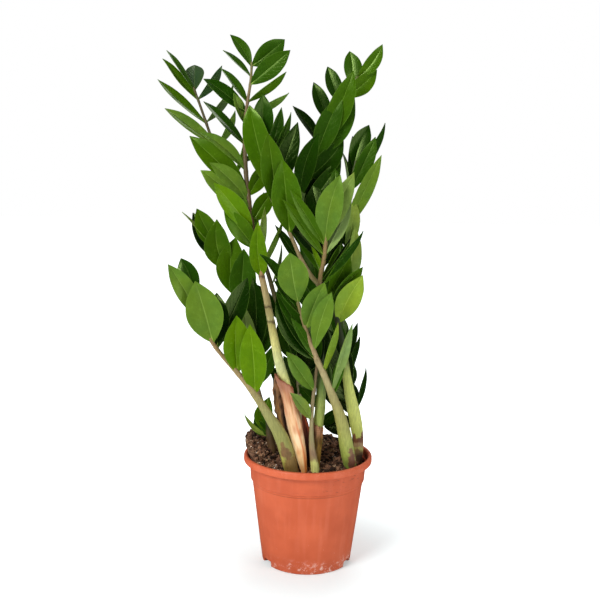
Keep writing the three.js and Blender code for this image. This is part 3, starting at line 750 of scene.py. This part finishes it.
def frond(name, rows, stops, leaves, patches=()):
    """One frond: its stalk along rows of x, z, depth and radius, and its leaflets.

    A leaflet is the height of its foot, its tip's x, z and depth from the foot, its turn in degrees, its
    width, its bow and its tone, which for the darker tones is partly painted shade and for the greyish
    ones a painted sheen, and for some how late it is widest. A patch on the stalk is x, z, half width,
    half height and colour.
    """
    spine = eased(rows, STALK_STEP)
    curve = bpy.data.curves.new(name, "CURVE")
    curve.dimensions = "3D"
    curve.bevel_depth = 1
    curve.bevel_resolution = STALK_SIDES // 2 - 1
    curve.use_fill_caps = True
    line = curve.splines.new("POLY")
    line.points.add(len(spine) - 1)
    joints = sorted(leaf[0] for leaf in leaves)
    for point, (x, z, y, r) in zip(line.points, spine):
        ring = max([math.exp(-(((z - j) / (1.2 + 0.5 * r)) ** 2)) for j in joints], default=0)
        point.co = (*(place(x, z, y) / 1000), 1)
        point.radius = (r * (1 + 0.025 * wobble(0, rows[0][0], z / 9)) + 0.28 * ring) / 1000
    stem = bpy.data.objects.new(name, curve)
    bpy.context.collection.objects.link(stem)
    select_only(stem)
    bpy.ops.object.convert(target="MESH")
    stem = bpy.context.object
    stem.data.materials.clear()
    stem.data.materials.append(stalk_skin.material)
    bpy.ops.object.shade_smooth()
    tints = []
    for v in stem.data.vertices:
        p = v.co * 1000
        z = seen_height(p)
        drift = 2.5 * noise.noise(p / 5) + 1.6 * noise.noise(Vector((p.x, p.y, p.z / 4)) / 1.3)
        colour = colour_at(stops, z + drift)
        for x0, z0, wide, high, tone in patches:
            away = math.hypot((seen_across(p) - x0) / wide, (z - z0) / high)
            away += 0.3 * noise.noise(p / 4) + 0.22 * noise.noise(p / 1.3)
            colour = blend(seen(*tone), colour, min(1, max(0, (away - 0.92) / 0.12)))
        if joints and any(abs(z - j - 1.5) < 1.1 for j in joints) and z > joints[0] - 5:
            colour = blend(colour, seen(92, 84, 44), 0.14)
        tints.extend(colour)
    tint_points(stem.data, tints)
    for leaf in leaves:
        leaflet(rows, *leaf).select_set(True)
    stem.select_set(True)
    bpy.context.view_layer.objects.active = stem
    bpy.ops.object.join()
    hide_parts(name)
    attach(stem, "root")
    stem.name = name + "_grown"


frond("frond_front_left", [
    (-19, 95, -55, 8.0), (-22, 121, -57, 9.0), (-29, 148, -60, 9.4), (-39, 172, -64, 8.2),
    (-52, 193, -68, 6.4), (-66, 215, -74, 4.7), (-82, 237, -80, 3.7), (-98, 256, -86, 3.1),
    (-114, 274, -92, 2.6), (-127, 291, -96, 2.2), (-139, 312, -98, 1.9), (-147, 334, -98, 1.6),
    (-151, 350, -97, 1.3),
], [
    (120, (146, 132, 62)), (160, (140, 140, 72)), (200, (146, 142, 84)), (240, (150, 128, 84)),
    (300, (140, 112, 70)), (350, (96, 112, 40)),
], [
    (222, -79, 316, -22, -6, 33, -2, "fresh"), (251, -96, 328, -8, 22, 35, 3, "fresh"),
    (283, -122, 358, 14, 15, 28, 0, "dark"), (286, -82, 378, 40, 12, 28, -1, "dark"),
    (291, -150, 372, -10, 3, 44, -1, "light"), (322, -185, 394, 2, 20, 25, -1, "light"),
    (348, -169, 402, 14, -12, 27, -4, "deep"),
], [
    (-19, 124, 12, 19, (128, 102, 52)), (-34, 130, 2.6, 14, (164, 158, 74)),
    (-30, 145, 6, 8, (124, 92, 54)), (-34, 154, 2.4, 6, (130, 98, 56)), (-25, 140, 5, 6, (116, 88, 50)),
])

# ---------- cream frond ----------
# The tallest frond has the thick cream stalk that comes out of the pale sheath. Dark rings mark where
# leaflets and sheaths have dropped off, and its upper part is thin and brown.
CREAM_STALK = [
    (-3, 96, -56, 2.8), (-5, 121, -57, 3.0), (-11, 150, -56, 5.0), (-18, 180, -54, 6.2),
    (-25, 212, -50, 6.6), (-32, 240, -46, 6.6), (-40, 268, -42, 6.0), (-47, 300, -37, 5.2),
    (-53, 330, -32, 4.6), (-58, 355, -28, 4.2), (-65, 385, -23, 3.8), (-71, 415, -18, 3.5),
    (-76, 440, -14, 3.3), (-81, 475, -8, 3.1), (-85, 510, -2, 2.9), (-87, 545, 2, 2.6), (-87, 575, 4, 2.3),
    (-84, 600, 5, 2.0), (-80, 628, 5, 1.7), (-79, 650, 4, 1.4),
]
frond("frond_cream", CREAM_STALK, [
    (236, (255, 250, 150)), (262, (255, 255, 186)), (290, (232, 224, 142)), (318, (190, 176, 106)),
    (321, (96, 76, 42)), (324, (196, 184, 124)), (337, (186, 168, 110)), (340, (84, 62, 36)),
    (343, (182, 164, 112)), (376, (160, 136, 92)), (379, (80, 58, 34)), (383, (160, 124, 78)),
    (440, (116, 88, 56)), (520, (84, 70, 40)), (600, (130, 104, 76)), (650, (120, 116, 66)),
], [
    (380, -69, 450, -14, 6, 23, 3, "fresh", 0.75), (386, -36, 453, 20, 60, 14, 2, "light"),
    (395, -60, 470, 4, 50, 14, 3, "pale"), (415, -113, 466, -8, 14, 26, 0, "mid"),
    (437, -126, 499, -16, 8, 27, -1, "fresh"), (448, -50, 490, 14, 12, 23, 2, "mid"),
    (462, -143, 515, 2, 10, 27, -2, "light"), (476, -131, 525, -12, 30, 24, -2, "light"),
    (490, -157, 558, 4, 14, 30, 0, "mid"), (483, -55, 524, 16, 20, 23, 2, "mid"),
    (514, -144, 563, -8, 40, 19, -4, "light"), (526, -74, 548, 14, 40, 11, -1, "deep"),
    (547, -139, 601, 4, 50, 18, 0, "deep"), (574, -101, 612, -6, 50, 18, 1, "light"),
    (588, -139, 629, -6, 30, 21, -1, "deep"), (586, -31, 612, 10, 66, 18, 0, "light"),
    (600, -118, 642, 6, 56, 18, 0, "green"), (601, -35, 638, -6, 62, 18, 1, "mid"),
    (622, -31, 665, -14, 8, 25, 0, "green"), (632, -115, 664, 6, 58, 14, 1, "green"),
    (644, -106, 683, -6, 34, 17, -2, "green"), (645, -38, 678, 4, 10, 27, -1, "green"),
])

# ---------- small front frond ----------
# A short thin frond stands in front of the centre one, with three leaflets to its left and a pale
# green foot.
frond("frond_small", [
    (11, 96, -54, 4.6), (10, 121, -56, 5.5), (8, 135, -55, 4.8), (5, 155, -53, 3.7), (4, 180, -50, 2.8),
    (4.5, 205, -47, 2.5), (6.5, 228, -44, 2.3), (8.5, 250, -42, 2.0), (10.5, 268, -40, 1.6),
], [
    (120, (206, 208, 124)), (131, (200, 202, 118)), (135, (150, 132, 88)), (142, (140, 112, 86)),
    (165, (142, 134, 92)), (200, (146, 132, 96)), (268, (110, 88, 56)),
], [
    (190, -24, 226, -20, 40, 17, 0, "pale"), (229, -30, 281, -12, 20, 22, 1, "light"),
    (264, 0, 322, 4, 20, 20, 0, "deep"),
])

# ---------- centre frond ----------
# The centre frond stands upright in a brown sheath, green below and brown above, with closely set leaflets.
CENTRE_STALK = [
    (8, 100, -41, 5.2), (8.5, 128, -41, 6.2), (10.5, 155, -40, 6.4), (13, 185, -38, 6.6),
    (15.5, 210, -36, 6.4), (16, 240, -33, 5.4), (15.5, 280, -29, 4.4), (14, 320, -25, 3.8),
    (11.5, 360, -22, 3.2), (13, 385, -21, 2.9), (16.5, 405, -21, 2.7), (18, 425, -22, 2.4),
    (22, 445, -24, 2.0), (27, 468, -26, 1.5),
]
frond("frond_centre", CENTRE_STALK, [
    (170, (150, 162, 70)), (210, (142, 156, 76)), (235, (84, 108, 42)), (265, (46, 62, 22)),
    (300, (44, 58, 22)), (360, (76, 76, 36)), (380, (132, 108, 64)), (425, (146, 120, 76)),
    (468, (90, 116, 30)),
], [
    (205, -14, 237, 10, 20, 16, 0, "deep"), (226, 26, 268, 12, 30, 15, 0, "dark"),
    (240, 20, 320, 6, 20, 16, 0, "black"), (326, -26, 372, 10, 20, 17, 0, "deep"),
    (366, 48, 424, 2, 56, 14, 0, "mid"), (370, 51, 432, 10, 40, 13, 0, "black"),
    (374, 67, 440, -8, 46, 16, 0, "deep"), (375, 37, 424, 6, 50, 13, 1, "mid"),
    (384, -33, 450, 34, 14, 16, -4, "green"), (389, 0, 420, -2, 30, 7, 0, "fresh"),
    (391, 43, 446, 10, 40, 13, 1, "black"), (400, -30, 452, 20, 20, 16, 0, "black"),
    (402, -4, 446, 24, 10, 14, 0, "black"), (407, -38, 480, -14, 20, 15, 0, "mid"),
    (408, 50, 480, -2, 132, 20, 0, "pale"), (420, -29, 492, -16, 16, 15, 0, "mid"),
    (424, 35, 511, -18, -10, 33, 4, "light"), (432, 53, 515, -4, 14, 25, 3, "pale"),
    (446, 0, 497, 12, 14, 34, 4, "dark"), (458, 29, 520, 12, 20, 20, 0, "green"),
])

# ---------- front right frond ----------
# The frond at the front right leans to the left across the others, from a swollen foot with a torn
# brown scar.
frond("frond_front_right", [
    (54, 100, -31, 7.0), (57, 122, -33, 8.0), (52, 150, -42, 9.0), (46, 180, -49, 8.1), (39, 203, -54, 6.6),
    (31, 223, -57, 5.2), (20, 250, -60, 4.2), (9, 273, -61, 3.7), (1, 292, -61, 3.2), (-6, 312, -60, 2.7),
    (-13, 335, -59, 2.3), (-18, 352, -58, 1.8),
], [
    (120, (126, 154, 62)), (140, (150, 162, 74)), (170, (154, 156, 78)), (205, (150, 142, 82)),
    (250, (160, 146, 104)), (290, (150, 124, 88)), (352, (116, 108, 60)),
], [
    (222, 47, 286, 6, -40, 15, -1, "green"), (226, 55, 320, -8, 40, 16, 2, "silver"),
    (253, 38, 320, -4, 50, 15, 3, "lime"), (268, -44, 358, 10, 20, 26, 10, "dark"),
    (269, -25, 326, -4, 30, 13, 0, "green"), (281, 27, 360, -12, 4, 24, 3, "light", 1.25),
    (294, -45, 361, 10, 34, 18, 2, "deep"), (297, -25, 329, 2, 50, 10, 0, "deep"),
    (312, 18, 373, -6, 4, 29, 2, "light"), (327, -48, 375, 4, 56, 18, 0, "deep"),
    (343, -66, 410, 14, 54, 19, -1, "deep"), (345, -28, 411, -10, 6, 38, 1, "light", 1.15),
], [
    (59, 132, 5, 15, (124, 86, 66)), (57, 147, 3, 5, (132, 98, 70)),
])

# ---------- stout frond ----------
# The stout frond at the right has a thick yellow-green stalk that narrows to a brown collar just
# over the soil.
frond("frond_stout", [
    (64, 112, -8, 5.8), (66, 135, -6, 6.4), (67, 158, -3, 6.6), (64, 180, 0, 8.0), (60, 200, 2, 8.3),
    (54, 225, 4, 7.2), (49, 252, 5, 5.6), (45, 280, 4, 4.6), (40, 305, 2, 4.0), (34, 328, -1, 3.6),
    (24, 350, -4, 3.3), (10, 370, -8, 3.0), (0, 382, -10, 2.8), (-14, 405, -12, 2.6), (-24, 427, -13, 2.4),
    (-35, 450, -13, 2.2), (-45, 467, -12, 2.0), (-53, 482, -10, 1.9), (-60, 505, -8, 1.7),
    (-64, 530, -6, 1.5), (-66, 550, -5, 1.2),
], [
    (124, (60, 44, 30)), (127, (72, 54, 34)), (128, (150, 150, 72)), (131, (150, 148, 70)),
    (132, (84, 62, 38)), (145, (108, 84, 50)), (148, (146, 134, 68)), (152, (170, 166, 82)),
    (153, (154, 124, 84)), (158, (164, 132, 92)), (160, (120, 74, 46)), (166, (112, 68, 42)),
    (167.5, (178, 184, 88)), (200, (198, 204, 108)), (250, (184, 194, 98)), (266, (120, 134, 62)),
    (276, (46, 58, 22)), (335, (42, 52, 20)), (350, (120, 116, 70)), (400, (150, 130, 90)),
    (480, (128, 112, 78)), (550, (96, 100, 50)),
], [
    (320, 67, 383, -14, 2, 31, 3, "lime"), (345, 67, 394, -2, 36, 24, 3, "mid"),
    (354, 50, 410, 8, 20, 24, 0, "mid"), (380, -47, 447, 6, 26, 14, 2, "dark"),
    (436, -39, 530, -26, 3, 38, 0, "mid"), (470, -58, 563, -32, 8, 31, -1, "mid"),
    (480, -20, 577, 4, 10, 27, 0, "dark"), (470, -82, 597, -6, -4, 33, 1.5, "mid", 1.6),
    (508, -28, 589, 16, 52, 18, 0, "green"), (522, -41, 595, 8, 24, 17, -2, "deep"),
    (546, -64, 611, -4, 5, 27, 0, "deep"),
], [
    (72, 170, 2, 6, (112, 70, 42)), (61, 168, 2.4, 4, (120, 78, 46)), (66, 148, 4, 3, (126, 100, 60)),
    (69, 139, 5, 5, (72, 52, 34)),
])

# ---------- back left frond ----------
# The frond behind at the left leans out of the top left, with narrow leaflets, some of them greyish
# with a painted sheen, on a dark brown stalk.
frond("frond_back_left", [
    (-7, 118, 22, 4.4), (-8, 150, 22, 4.6), (-11, 200, 26, 4.0), (-14, 240, 31, 3.6), (-23, 290, 38, 3.3),
    (-37, 330, 43, 3.1), (-46, 352, 46, 3.0), (-57, 388, 50, 2.8), (-80, 455, 58, 2.6),
    (-102, 512, 66, 2.4), (-117, 536, 70, 2.2), (-129, 556, 73, 2.0), (-138, 580, 75, 1.8),
    (-146, 602, 77, 1.6), (-152, 618, 78, 1.3),
], [
    (150, (140, 132, 92)), (235, (142, 132, 98)), (300, (88, 84, 46)), (500, (74, 58, 36)),
    (618, (86, 78, 44)),
], [
    (216, -53, 262, 0, 10, 20, 0, "dark"), (216, 10, 262, 4, 10, 22, 0, "black"),
    (227, -34, 276, 4, 20, 19, 0, "dark"), (268, -40, 324, 4, -14, 27, 0, "dark"),
    (330, -49, 402, 2, 58, 15, 0, "dark"), (318, -76, 372, 10, 20, 18, 0, "dark"),
    (352, -14, 402, 14, 24, 22, 0, "green"), (368, -38, 421, 4, 78, 16, 0, "grey"),
    (424, -94, 474, 12, 18, 26, 0, "green"), (452, -62, 488, 16, 50, 14, 0, "green"),
    (484, -128, 520, 14, 20, 26, 0, "green"), (508, -87, 557, 6, 72, 18, 0, "mid"),
    (545, -188, 592, 8, 38, 20, 1, "light"), (545, -99, 590, 6, 66, 20, 0, "light"),
    (575, -101, 622, 4, 66, 20, 0, "grey"), (573, -197, 627, 4, 50, 17, 3, "mid"),
    (601, -190, 653, -4, 48, 15, 2, "mid"), (603, -116, 645, 8, 62, 20, 0, "teal"),
    (612, -185, 663, 8, 66, 15, 2, "green"), (614, -150, 645, 34, 0, 27, 0, "teal"),
])

# ---------- top right frond ----------
# The frond behind at the right is the longest one, with broad leaflets in a band up to its tip.
frond("frond_top_right", [
    (16, 125, 30, 4.6), (15, 158, 31, 4.6), (14, 200, 34, 4.2), (12, 270, 40, 3.7), (9, 330, 46, 3.3),
    (7, 390, 52, 3.1), (-5, 432, 57, 2.9), (-15, 465, 60, 2.7), (-16, 486, 62, 2.6), (-9, 507, 64, 2.5),
    (2, 529, 66, 2.3), (14, 553, 68, 2.2), (25, 580, 70, 2.0), (35, 606, 72, 1.8), (48, 625, 73, 1.6),
    (59, 641, 73, 1.3),
], [
    (150, (104, 118, 58)), (300, (84, 90, 44)), (450, (88, 72, 38)), (641, (96, 104, 40)),
], [
    (182, 40, 206, -4, 10, 17, 0, "deep"), (250, -32, 286, 4, 10, 28, 0, "black"),
    (300, 36, 356, 10, 16, 24, 0, "green"), (345, -24, 396, -8, 18, 24, 0, "deep"),
    (368, -14, 446, -4, 8, 28, -3, "deep"), (392, 40, 462, -6, 14, 28, 0, "deep"),
    (446, -4, 514, 8, 10, 31, -1, "dark"), (458, 36, 530, 10, 8, 28, 0, "deep"),
    (470, 14, 516, 12, 14, 22, 0, "dark"), (482, 6, 564, -30, 10, 27, 6, "deep"),
    (505, 38, 556, 4, 10, 30, -4, "deep"), (530, 34, 611, -16, 6, 31, 2, "green"),
    (534, 51, 608, -6, 8, 29, -4, "green"), (546, -27, 597, 10, 38, 18, -1, "dark"),
    (552, 49, 641, -24, 4, 31, -1, "mid"), (574, -1, 627, 10, 14, 21, 2, "deep"),
    (600, 16, 646, 10, 14, 22, 1, "deep"), (608, 78, 643, 4, 8, 24, -3, "mid"),
    (622, 43, 665, 12, 8, 25, -3, "green"), (632, 84, 674, -2, 6, 19, -4, "mid"),
])

# ---------- left frond ----------
# A thin frond behind the front left one spreads broad green leaflets at the left of the plant.
frond("frond_left", [
    (-42, 128, 16, 3.4), (-47, 158, 16, 3.4), (-54, 185, 18, 3.0), (-61, 210, 21, 2.8), (-68, 235, 25, 2.6),
    (-78, 280, 32, 2.4), (-89, 325, 38, 2.2), (-99, 365, 43, 2.0), (-109, 395, 46, 1.7),
    (-120, 420, 48, 1.4), (-126, 432, 49, 1.2),
], [
    (150, (96, 92, 60)), (240, (120, 96, 70)), (330, (96, 80, 48)), (432, (90, 100, 44)),
], [
    (234, -45, 291, 0, 10, 20, 0, "green"), (250, -86, 341, -20, 10, 24, 2, "grey"),
    (262, -62, 336, 8, 14, 24, 0, "dark"), (268, -50, 334, 4, 10, 22, -5, "deep"),
    (270, -75, 378, -12, 6, 28, -5, "dark"), (285, -105, 340, -2, 14, 24, 0, "dark"),
    (336, -87, 415, -16, 10, 36, 0, "green"), (352, -98, 430, -6, 6, 38, 8, "mid"),
    (385, -122, 452, -20, 3, 35, 8, "mid"), (396, -153, 461, 8, 16, 30, 4, "black"),
    (401, -166, 462, -8, 76, 12, 2, "pale"), (413, -148, 466, -8, 6, 28, 2, "mid"),
])

# ---------- right frond ----------
# A thin upright frond behind the stout one carries leaflets low down whose black and dark tones are
# painted shade deep in the plant, and broad lighter ones higher up, some with a painted sheen.
frond("frond_right", [
    (60, 130, 22, 3.6), (62, 160, 27, 3.6), (60, 200, 36, 3.4), (54, 240, 43, 3.2), (48, 270, 47, 3.0),
    (43, 310, 52, 2.8), (42, 350, 57, 2.6), (43, 390, 62, 2.5), (45, 430, 67, 2.3), (47, 470, 71, 2.1),
    (50, 505, 74, 1.8), (54, 530, 76, 1.5),
], [
    (150, (84, 92, 50)), (300, (72, 84, 40)), (530, (80, 92, 40)),
], [
    (192, 21, 180, 2, 0, 30, 0, "black"), (198, 75.5, 261.5, 6, 56, 16, 1, "dark"),
    (200, 44, 214, 4, 40, 14, 1, "black"), (202, 56, 243, -6, 34, 13, -2, "dark"),
    (204, 16, 232, 8, 10, 22, 0, "black"), (212, 16, 268, 2, 10, 27, 0, "black"),
    (214, 30, 244, 8, 10, 22, 0, "black"), (222, 14, 276, 4, 14, 20, 0, "black"),
    (232, 59, 266, 12, 66, 14, 0, "deep"), (236, 24, 312, -6, 12, 32, 0, "black"),
    (246, 66, 303, 4, 50, 15, 5, "dark"), (262, 16, 345, -4, 10, 28, 0, "deep"),
    (264, 62, 321, 10, 50, 19, 4, "dark"), (286, 43, 328, 14, 40, 14, 0, "deep"),
    (326, 19, 384, 4, 20, 24, 0, "green"), (338, 38, 425, -6, 16, 26, 0, "green"),
    (358, 56, 446, -6, 22, 25, -2, "pale"), (380, 30, 436, 6, 20, 16, 0, "black"),
    (412, 53, 482, -8, 24, 20, -2, "pale"), (420, 20, 484, 8, 14, 26, 0, "deep"),
    (445, 87, 537, -22, 10, 21, 1, "light"), (478, 37, 543, 8, 76, 18, 0, "dark"),
    (492, 79, 560, -8, 10, 23, 0, "green"), (498, 50, 561, 10, 24, 18, 0, "dark"),
    (502, 92, 577, 6, 50, 20, 0, "deep"), (518, 70, 575, 10, 8, 27, 4, "deep"),
])

# ---------- sheaths ----------
# Each shoot came up in a dry papery sheath. The pale one is still rolled round the cream stalk, peach
# with an orange stripe, its pinkish mouth torn open to a tail at the left, with painted shade down its
# right side. A brown one has split, and half of it stands behind. The centre stalk's foot has a short
# brown one with a torn flap, red-brown above and dark below, where it is painted shade between the
# stalks.
PALE_GIRTH = [
    (106, 3.4), (121, 3.9), (135, 6.2), (150, 7.7), (165, 8.7), (185, 9.2), (200, 9.0), (212, 8.0),
    (222, 7.9), (232, 8.6), (244, 9.8), (262, 10.6),
]
HUSK_ROUND = 48
HUSK_STEPS = 60
HUSK_GAP = 8  # degrees left open at the back


def cos_of(a):
    return math.cos(math.radians(a))


def sin_of(a):
    return math.sin(math.radians(a))


def lookup(table, at):
    for (a, va), (b, vb) in zip(table, table[1:]):
        if at <= b:
            f = max(0, (at - a) / (b - a))
            return va + (vb - va) * f
    return table[-1][1]


def husk_finish(name, shades, gloss, across):
    """Dry papery sheath: fibres run along it (v), and stripes of its shades lie side by side (u)."""
    paper = Finish(name)
    place_on = paper.node("UVMap", {"uv_map": "leaf"})
    fibre_at = paper.node("Mapping", None, {"Vector": place_on, "Scale": (across, 2.6, 1)})
    fibre = paper.clouds(fibre_at, 1.0, 4, 0.6)
    wide_at = paper.node("Mapping", None, {"Vector": place_on, "Scale": (across / 4, 1.5, 1)})
    wide = paper.clouds(wide_at, 1.0, 3)
    tint = paper.tint()
    skin = paper.mix(fibre.step(0.42, 0.62) * 0.8, tint, paper.times(tint, shades[0]))
    skin = paper.mix(wide.step(0.5, 0.68) * 0.7, skin, paper.times(tint, shades[1]))
    relief = paper.bump(fibre + wide, 0.9)
    paper.set(Base_Color=skin, Roughness=gloss + 0.2 * fibre, Normal=relief, Specular_IOR_Level=0.3)
    return paper.material


def papery(name, rows, columns, points, spots, tints, wall_mm, offset, finish):
    """A thin shell of rows of points, with the places of its fibres and its colours."""
    made = bare_object(name, points, strips(rows, columns))
    layer = made.data.uv_layers.new(name="leaf")
    for loop, spot in zip(made.data.loops, layer.data):
        spot.uv = spots[loop.vertex_index]
    tint_points(made.data, tints)
    skin_on = made.modifiers.new("thickness", "SOLIDIFY")
    skin_on.thickness = wall_mm / 1000
    skin_on.offset = offset
    bpy.ops.object.modifier_apply(modifier=skin_on.name)
    bpy.ops.object.shade_smooth()
    made.data.materials.append(finish)
    return made


def husk(name, node, rows, girth, foot, mouth, shade_of, finish):
    """A sheath rolled round a stalk from the height foot. Its mouth's height goes by the angle round it."""
    points, spots, tints = [], [], []
    for i in range(HUSK_STEPS + 1):
        for j in range(HUSK_ROUND + 1):
            a = 90 + HUSK_GAP / 2 + (360 - HUSK_GAP) * j / HUSK_ROUND
            z = foot + (mouth(a % 360) - foot) * i / HUSK_STEPS
            centre, _, _ = along(rows, z)
            ahead = (along(rows, z + 3)[0] - along(rows, z - 3)[0]).normalized()
            u = (Vector((1, 0, 0)) - ahead * ahead.x).normalized()
            v = ahead.cross(u)
            r = lookup(girth, z)
            r += 0.35 * wobble(7 * cos_of(a), 7 * sin_of(a), z / 16) * min(1, r / 7)
            r += 0.22 * math.sin(math.radians(a) * 11) * min(1, r / 8)
            points.append(centre + (u * cos_of(a) + v * sin_of(a)) * r)
            spots.append((j / HUSK_ROUND, (z - foot) / 60))
            tints.extend(shade_of(a % 360, z, i / HUSK_STEPS))
    rolled = papery(name, HUSK_STEPS + 1, HUSK_ROUND + 1, points, spots, tints, 0.7, -1, finish)
    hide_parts(node)
    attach(rolled, "root")


def ragged(a, size, seed):
    return size * wobble(cos_of(a) * 2.4, sin_of(a) * 2.4, seed)


def pale_mouth(a):
    """Low at the right and front, and drawn up to a torn tail at the left."""
    tail = cos_of(a - 200)
    return 239 + 9 * tail + 7 * max(0, tail) ** 8 + ragged(a, 4, 3.1)


def coated(colour, *coats):
    """A colour with others laid over it in turn, each with its share."""
    for coat, share in coats:
        colour = blend(colour, seen(*coat), share)
    return colour


def near(a, middle, spread):
    """1 at the angle middle round a sheath, and 0 from spread degrees off it."""
    return max(0, 1 - abs((a - middle + 180) % 360 - 180) / spread)


def rise(z, low, high):
    return max(0, min(1, (z - low) / (high - low)))


def pale_shade(a, z, t):
    round_at = Vector((1.5 * cos_of(a), 1.5 * sin_of(a), z / 15))
    low = 1 - rise(z, 124, 165)
    line = near(a, 300 + 9 * math.sin(z / 17), 11) * (1 - rise(z, 176, 200)) * rise(z, 112, 126)
    return coated(
        blend(seen(234, 207, 166), seen(226, 172, 132), rise(z, 168, 214)),
        ((206, 136, 100), max(0, min(1, 2.2 * noise.noise(round_at) - 0.25)) * 0.7),
        ((234, 184, 104), low * 0.6),
        ((212, 124, 54), low * min(1, 2 * near(a, 322, 40))),
        ((206, 104, 44), min(1, 1.6 * line) * 0.75),
        # Painted shade down the right side of the sheath's upper part.
        ((202, 132, 92), near(a, 352, 34) * rise(z, 150, 190)),
        ((204, 122, 52), (1 - rise(z, 116, 128)) * 0.85),
        ((200, 138, 110), rise(z + 4 * cos_of(a - 20), 222, 231)),
        ((164, 92, 66), rise(t, 0.96, 1) * 0.8),
    )


def centre_mouth(a):
    return 180 + 5 * cos_of(a - 225) + ragged(a, 5, 7.7)


def centre_shade(a, z, t):
    golden = max(0, cos_of(a - 325)) * (1 - rise(z, 158, 172))
    return coated(
        blend(seen(104, 78, 34), seen(160, 114, 80), rise(z, 160, 176)),
        ((110, 74, 44), 0.6 * max(0, math.sin(z * 2.1)) * rise(z, 166, 172)),
        ((146, 112, 36), golden * 0.8),
        ((60, 40, 24), (1 - rise(z, 128, 150)) * 0.6 * (1 - golden)),
    )


pale_paper = husk_finish("pale paper", ((0.9, 0.76, 0.6, 1), (0.98, 0.8, 0.66, 1)), 0.5, 22)
brown_paper = husk_finish("brown paper", ((0.3, 0.24, 0.18, 1), (1.9, 1.6, 1.3, 1)), 0.6, 11)
CENTRE_GIRTH = [(108, 7.2), (128, 7.5), (155, 7.5), (172, 7.4), (188, 8.2)]
husk(
    "sheath_rolled_pale", "sheath_pale", CREAM_STALK, PALE_GIRTH, 106, pale_mouth, pale_shade,
    pale_paper,
)
husk(
    "sheath_rolled_brown", "sheath_centre", CENTRE_STALK, CENTRE_GIRTH, 108, centre_mouth, centre_shade,
    brown_paper,
)

SPLIT_STEPS = 70
SPLIT_ACROSS = 28


def split_husk(name, node, rows, over, front, shade_of):
    """Half of a sheath, open at the front, along rows of x, z, y and half width up to its ragged tip."""
    low, tip = rows[0][1], rows[-1][1]
    over, front = Vector(over).normalized(), Vector(front).normalized()
    points, spots, tints = [], [], []
    for i in range(SPLIT_STEPS + 1):
        t = i / SPLIT_STEPS
        z = low + (tip - low) * t
        x, y, half = (lookup([(row[1], row[k]) for row in rows], z) for k in (0, 2, 3))
        for j in range(SPLIT_ACROSS + 1):
            s = 2 * j / SPLIT_ACROSS - 1
            rag = 1 + 0.3 * wobble(3 * s, 5, z / 6)
            bend = math.radians(78) * s
            deep = half * (1 - math.cos(bend)) * 0.75 + 0.5 * math.sin(9 * s + z / 14)
            deep += 0.9 * wobble(s * 4, z / 9, 2)
            torn = 6 * (1 - abs(s)) * wobble(s * 6, 1, 1) * rise(t, 0.86, 1)
            p = place(x, z, y) + over * (half * math.sin(bend) * rag) - front * deep
            points.append(p + Vector((0, 0, torn)))
            spots.append((j / SPLIT_ACROSS, (z - low) / 60))
            tints.extend(shade_of(s, z))
    half_sheath = papery(name, SPLIT_STEPS + 1, SPLIT_ACROSS + 1, points, spots, tints, 0.8, 0, brown_paper)
    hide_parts(node)
    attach(half_sheath, "root")


def split_shade(s, z):
    high_up = rise(z, 194, 232)
    streak = wobble(s * 3.4, 9, z / 26)
    fine = wobble(s * 9, 4, z / 7)
    golden = math.exp(-(((s + 0.05 + (z - 190) / 150) / 0.2) ** 2)) * (1 - high_up)
    return coated(
        blend(seen(74, 44, 22), seen(162, 116, 78), high_up),
        ((196, 152, 104), max(0, min(1, 2.4 * streak - 0.3)) * (0.35 + 0.5 * high_up)),
        ((30, 17, 9), max(0, min(1, -3.4 * streak - 0.2)) * 0.95),
        ((44, 26, 14), max(0, min(1, 3.4 * fine - 0.5)) * 0.75),
        ((188, 138, 70), golden * 0.7),
        ((34, 20, 12), max(0, s - 0.35) * 1.4 * (1 - high_up)),
    )


# The torn flap is a red-brown dry flap, but its dark lower part is painted shade: a dark sheet that fills
# the shadowed gap between the stalks.
def flap_shade(s, z):
    return coated(
        seen(60, 34, 22),
        ((128, 58, 34), rise(z, 150, 185)),
        ((186, 130, 104), 1 - rise(s, -0.75, -0.35)),
    )


BROWN_HALF = [
    (-20, 118, -37, 3), (-27, 150, -37, 5.5), (-35, 182, -38, 7.6), (-39.5, 206, -38, 9),
    (-42, 230, -37, 8.6), (-43.5, 243, -36, 5), (-44, 251, -35, 2),
]
LEANING, OUTWARD = (0.9, -0.4, 0.25), (-0.4, -0.9, 0)
split_husk("sheath_split_brown", "sheath_brown", BROWN_HALF, LEANING, OUTWARD, split_shade)
FLAP_HALF = [
    (3, 122, -45, 2.5), (1, 140, -45, 4), (-1, 160, -45, 4.6), (-3.5, 178, -45, 4.4), (-6, 192, -45, 3),
    (-8, 202, -45, 1),
]
split_husk("sheath_torn_flap", "sheath_centre", FLAP_HALF, (1, 0.1, 0.1), (0, -1, 0), flap_shade)

# ---------- sprout ----------
# A short thick sprout at the left, with small leaflets, comes up through the heap.
frond("sprout", [
    (-46, 134, -12, 4.4), (-48.5, 155, -12, 5.2), (-51.5, 172, -13, 4.8), (-54, 184, -14, 3),
    (-56, 194, -14, 1.4),
], [
    (150, (96, 72, 44)), (165, (78, 58, 34)), (180, (50, 52, 20)), (194, (44, 70, 20)),
], [
    (166, -85, 196, -10, 40, 7, 6, "pale"), (168, -72, 190, -2, 10, 16, 3, "deep"),
    (170, -52, 220, 6, 12, 25, 9, "mid"), (172, -65, 208, 2, 14, 15, 4, "green"),
])
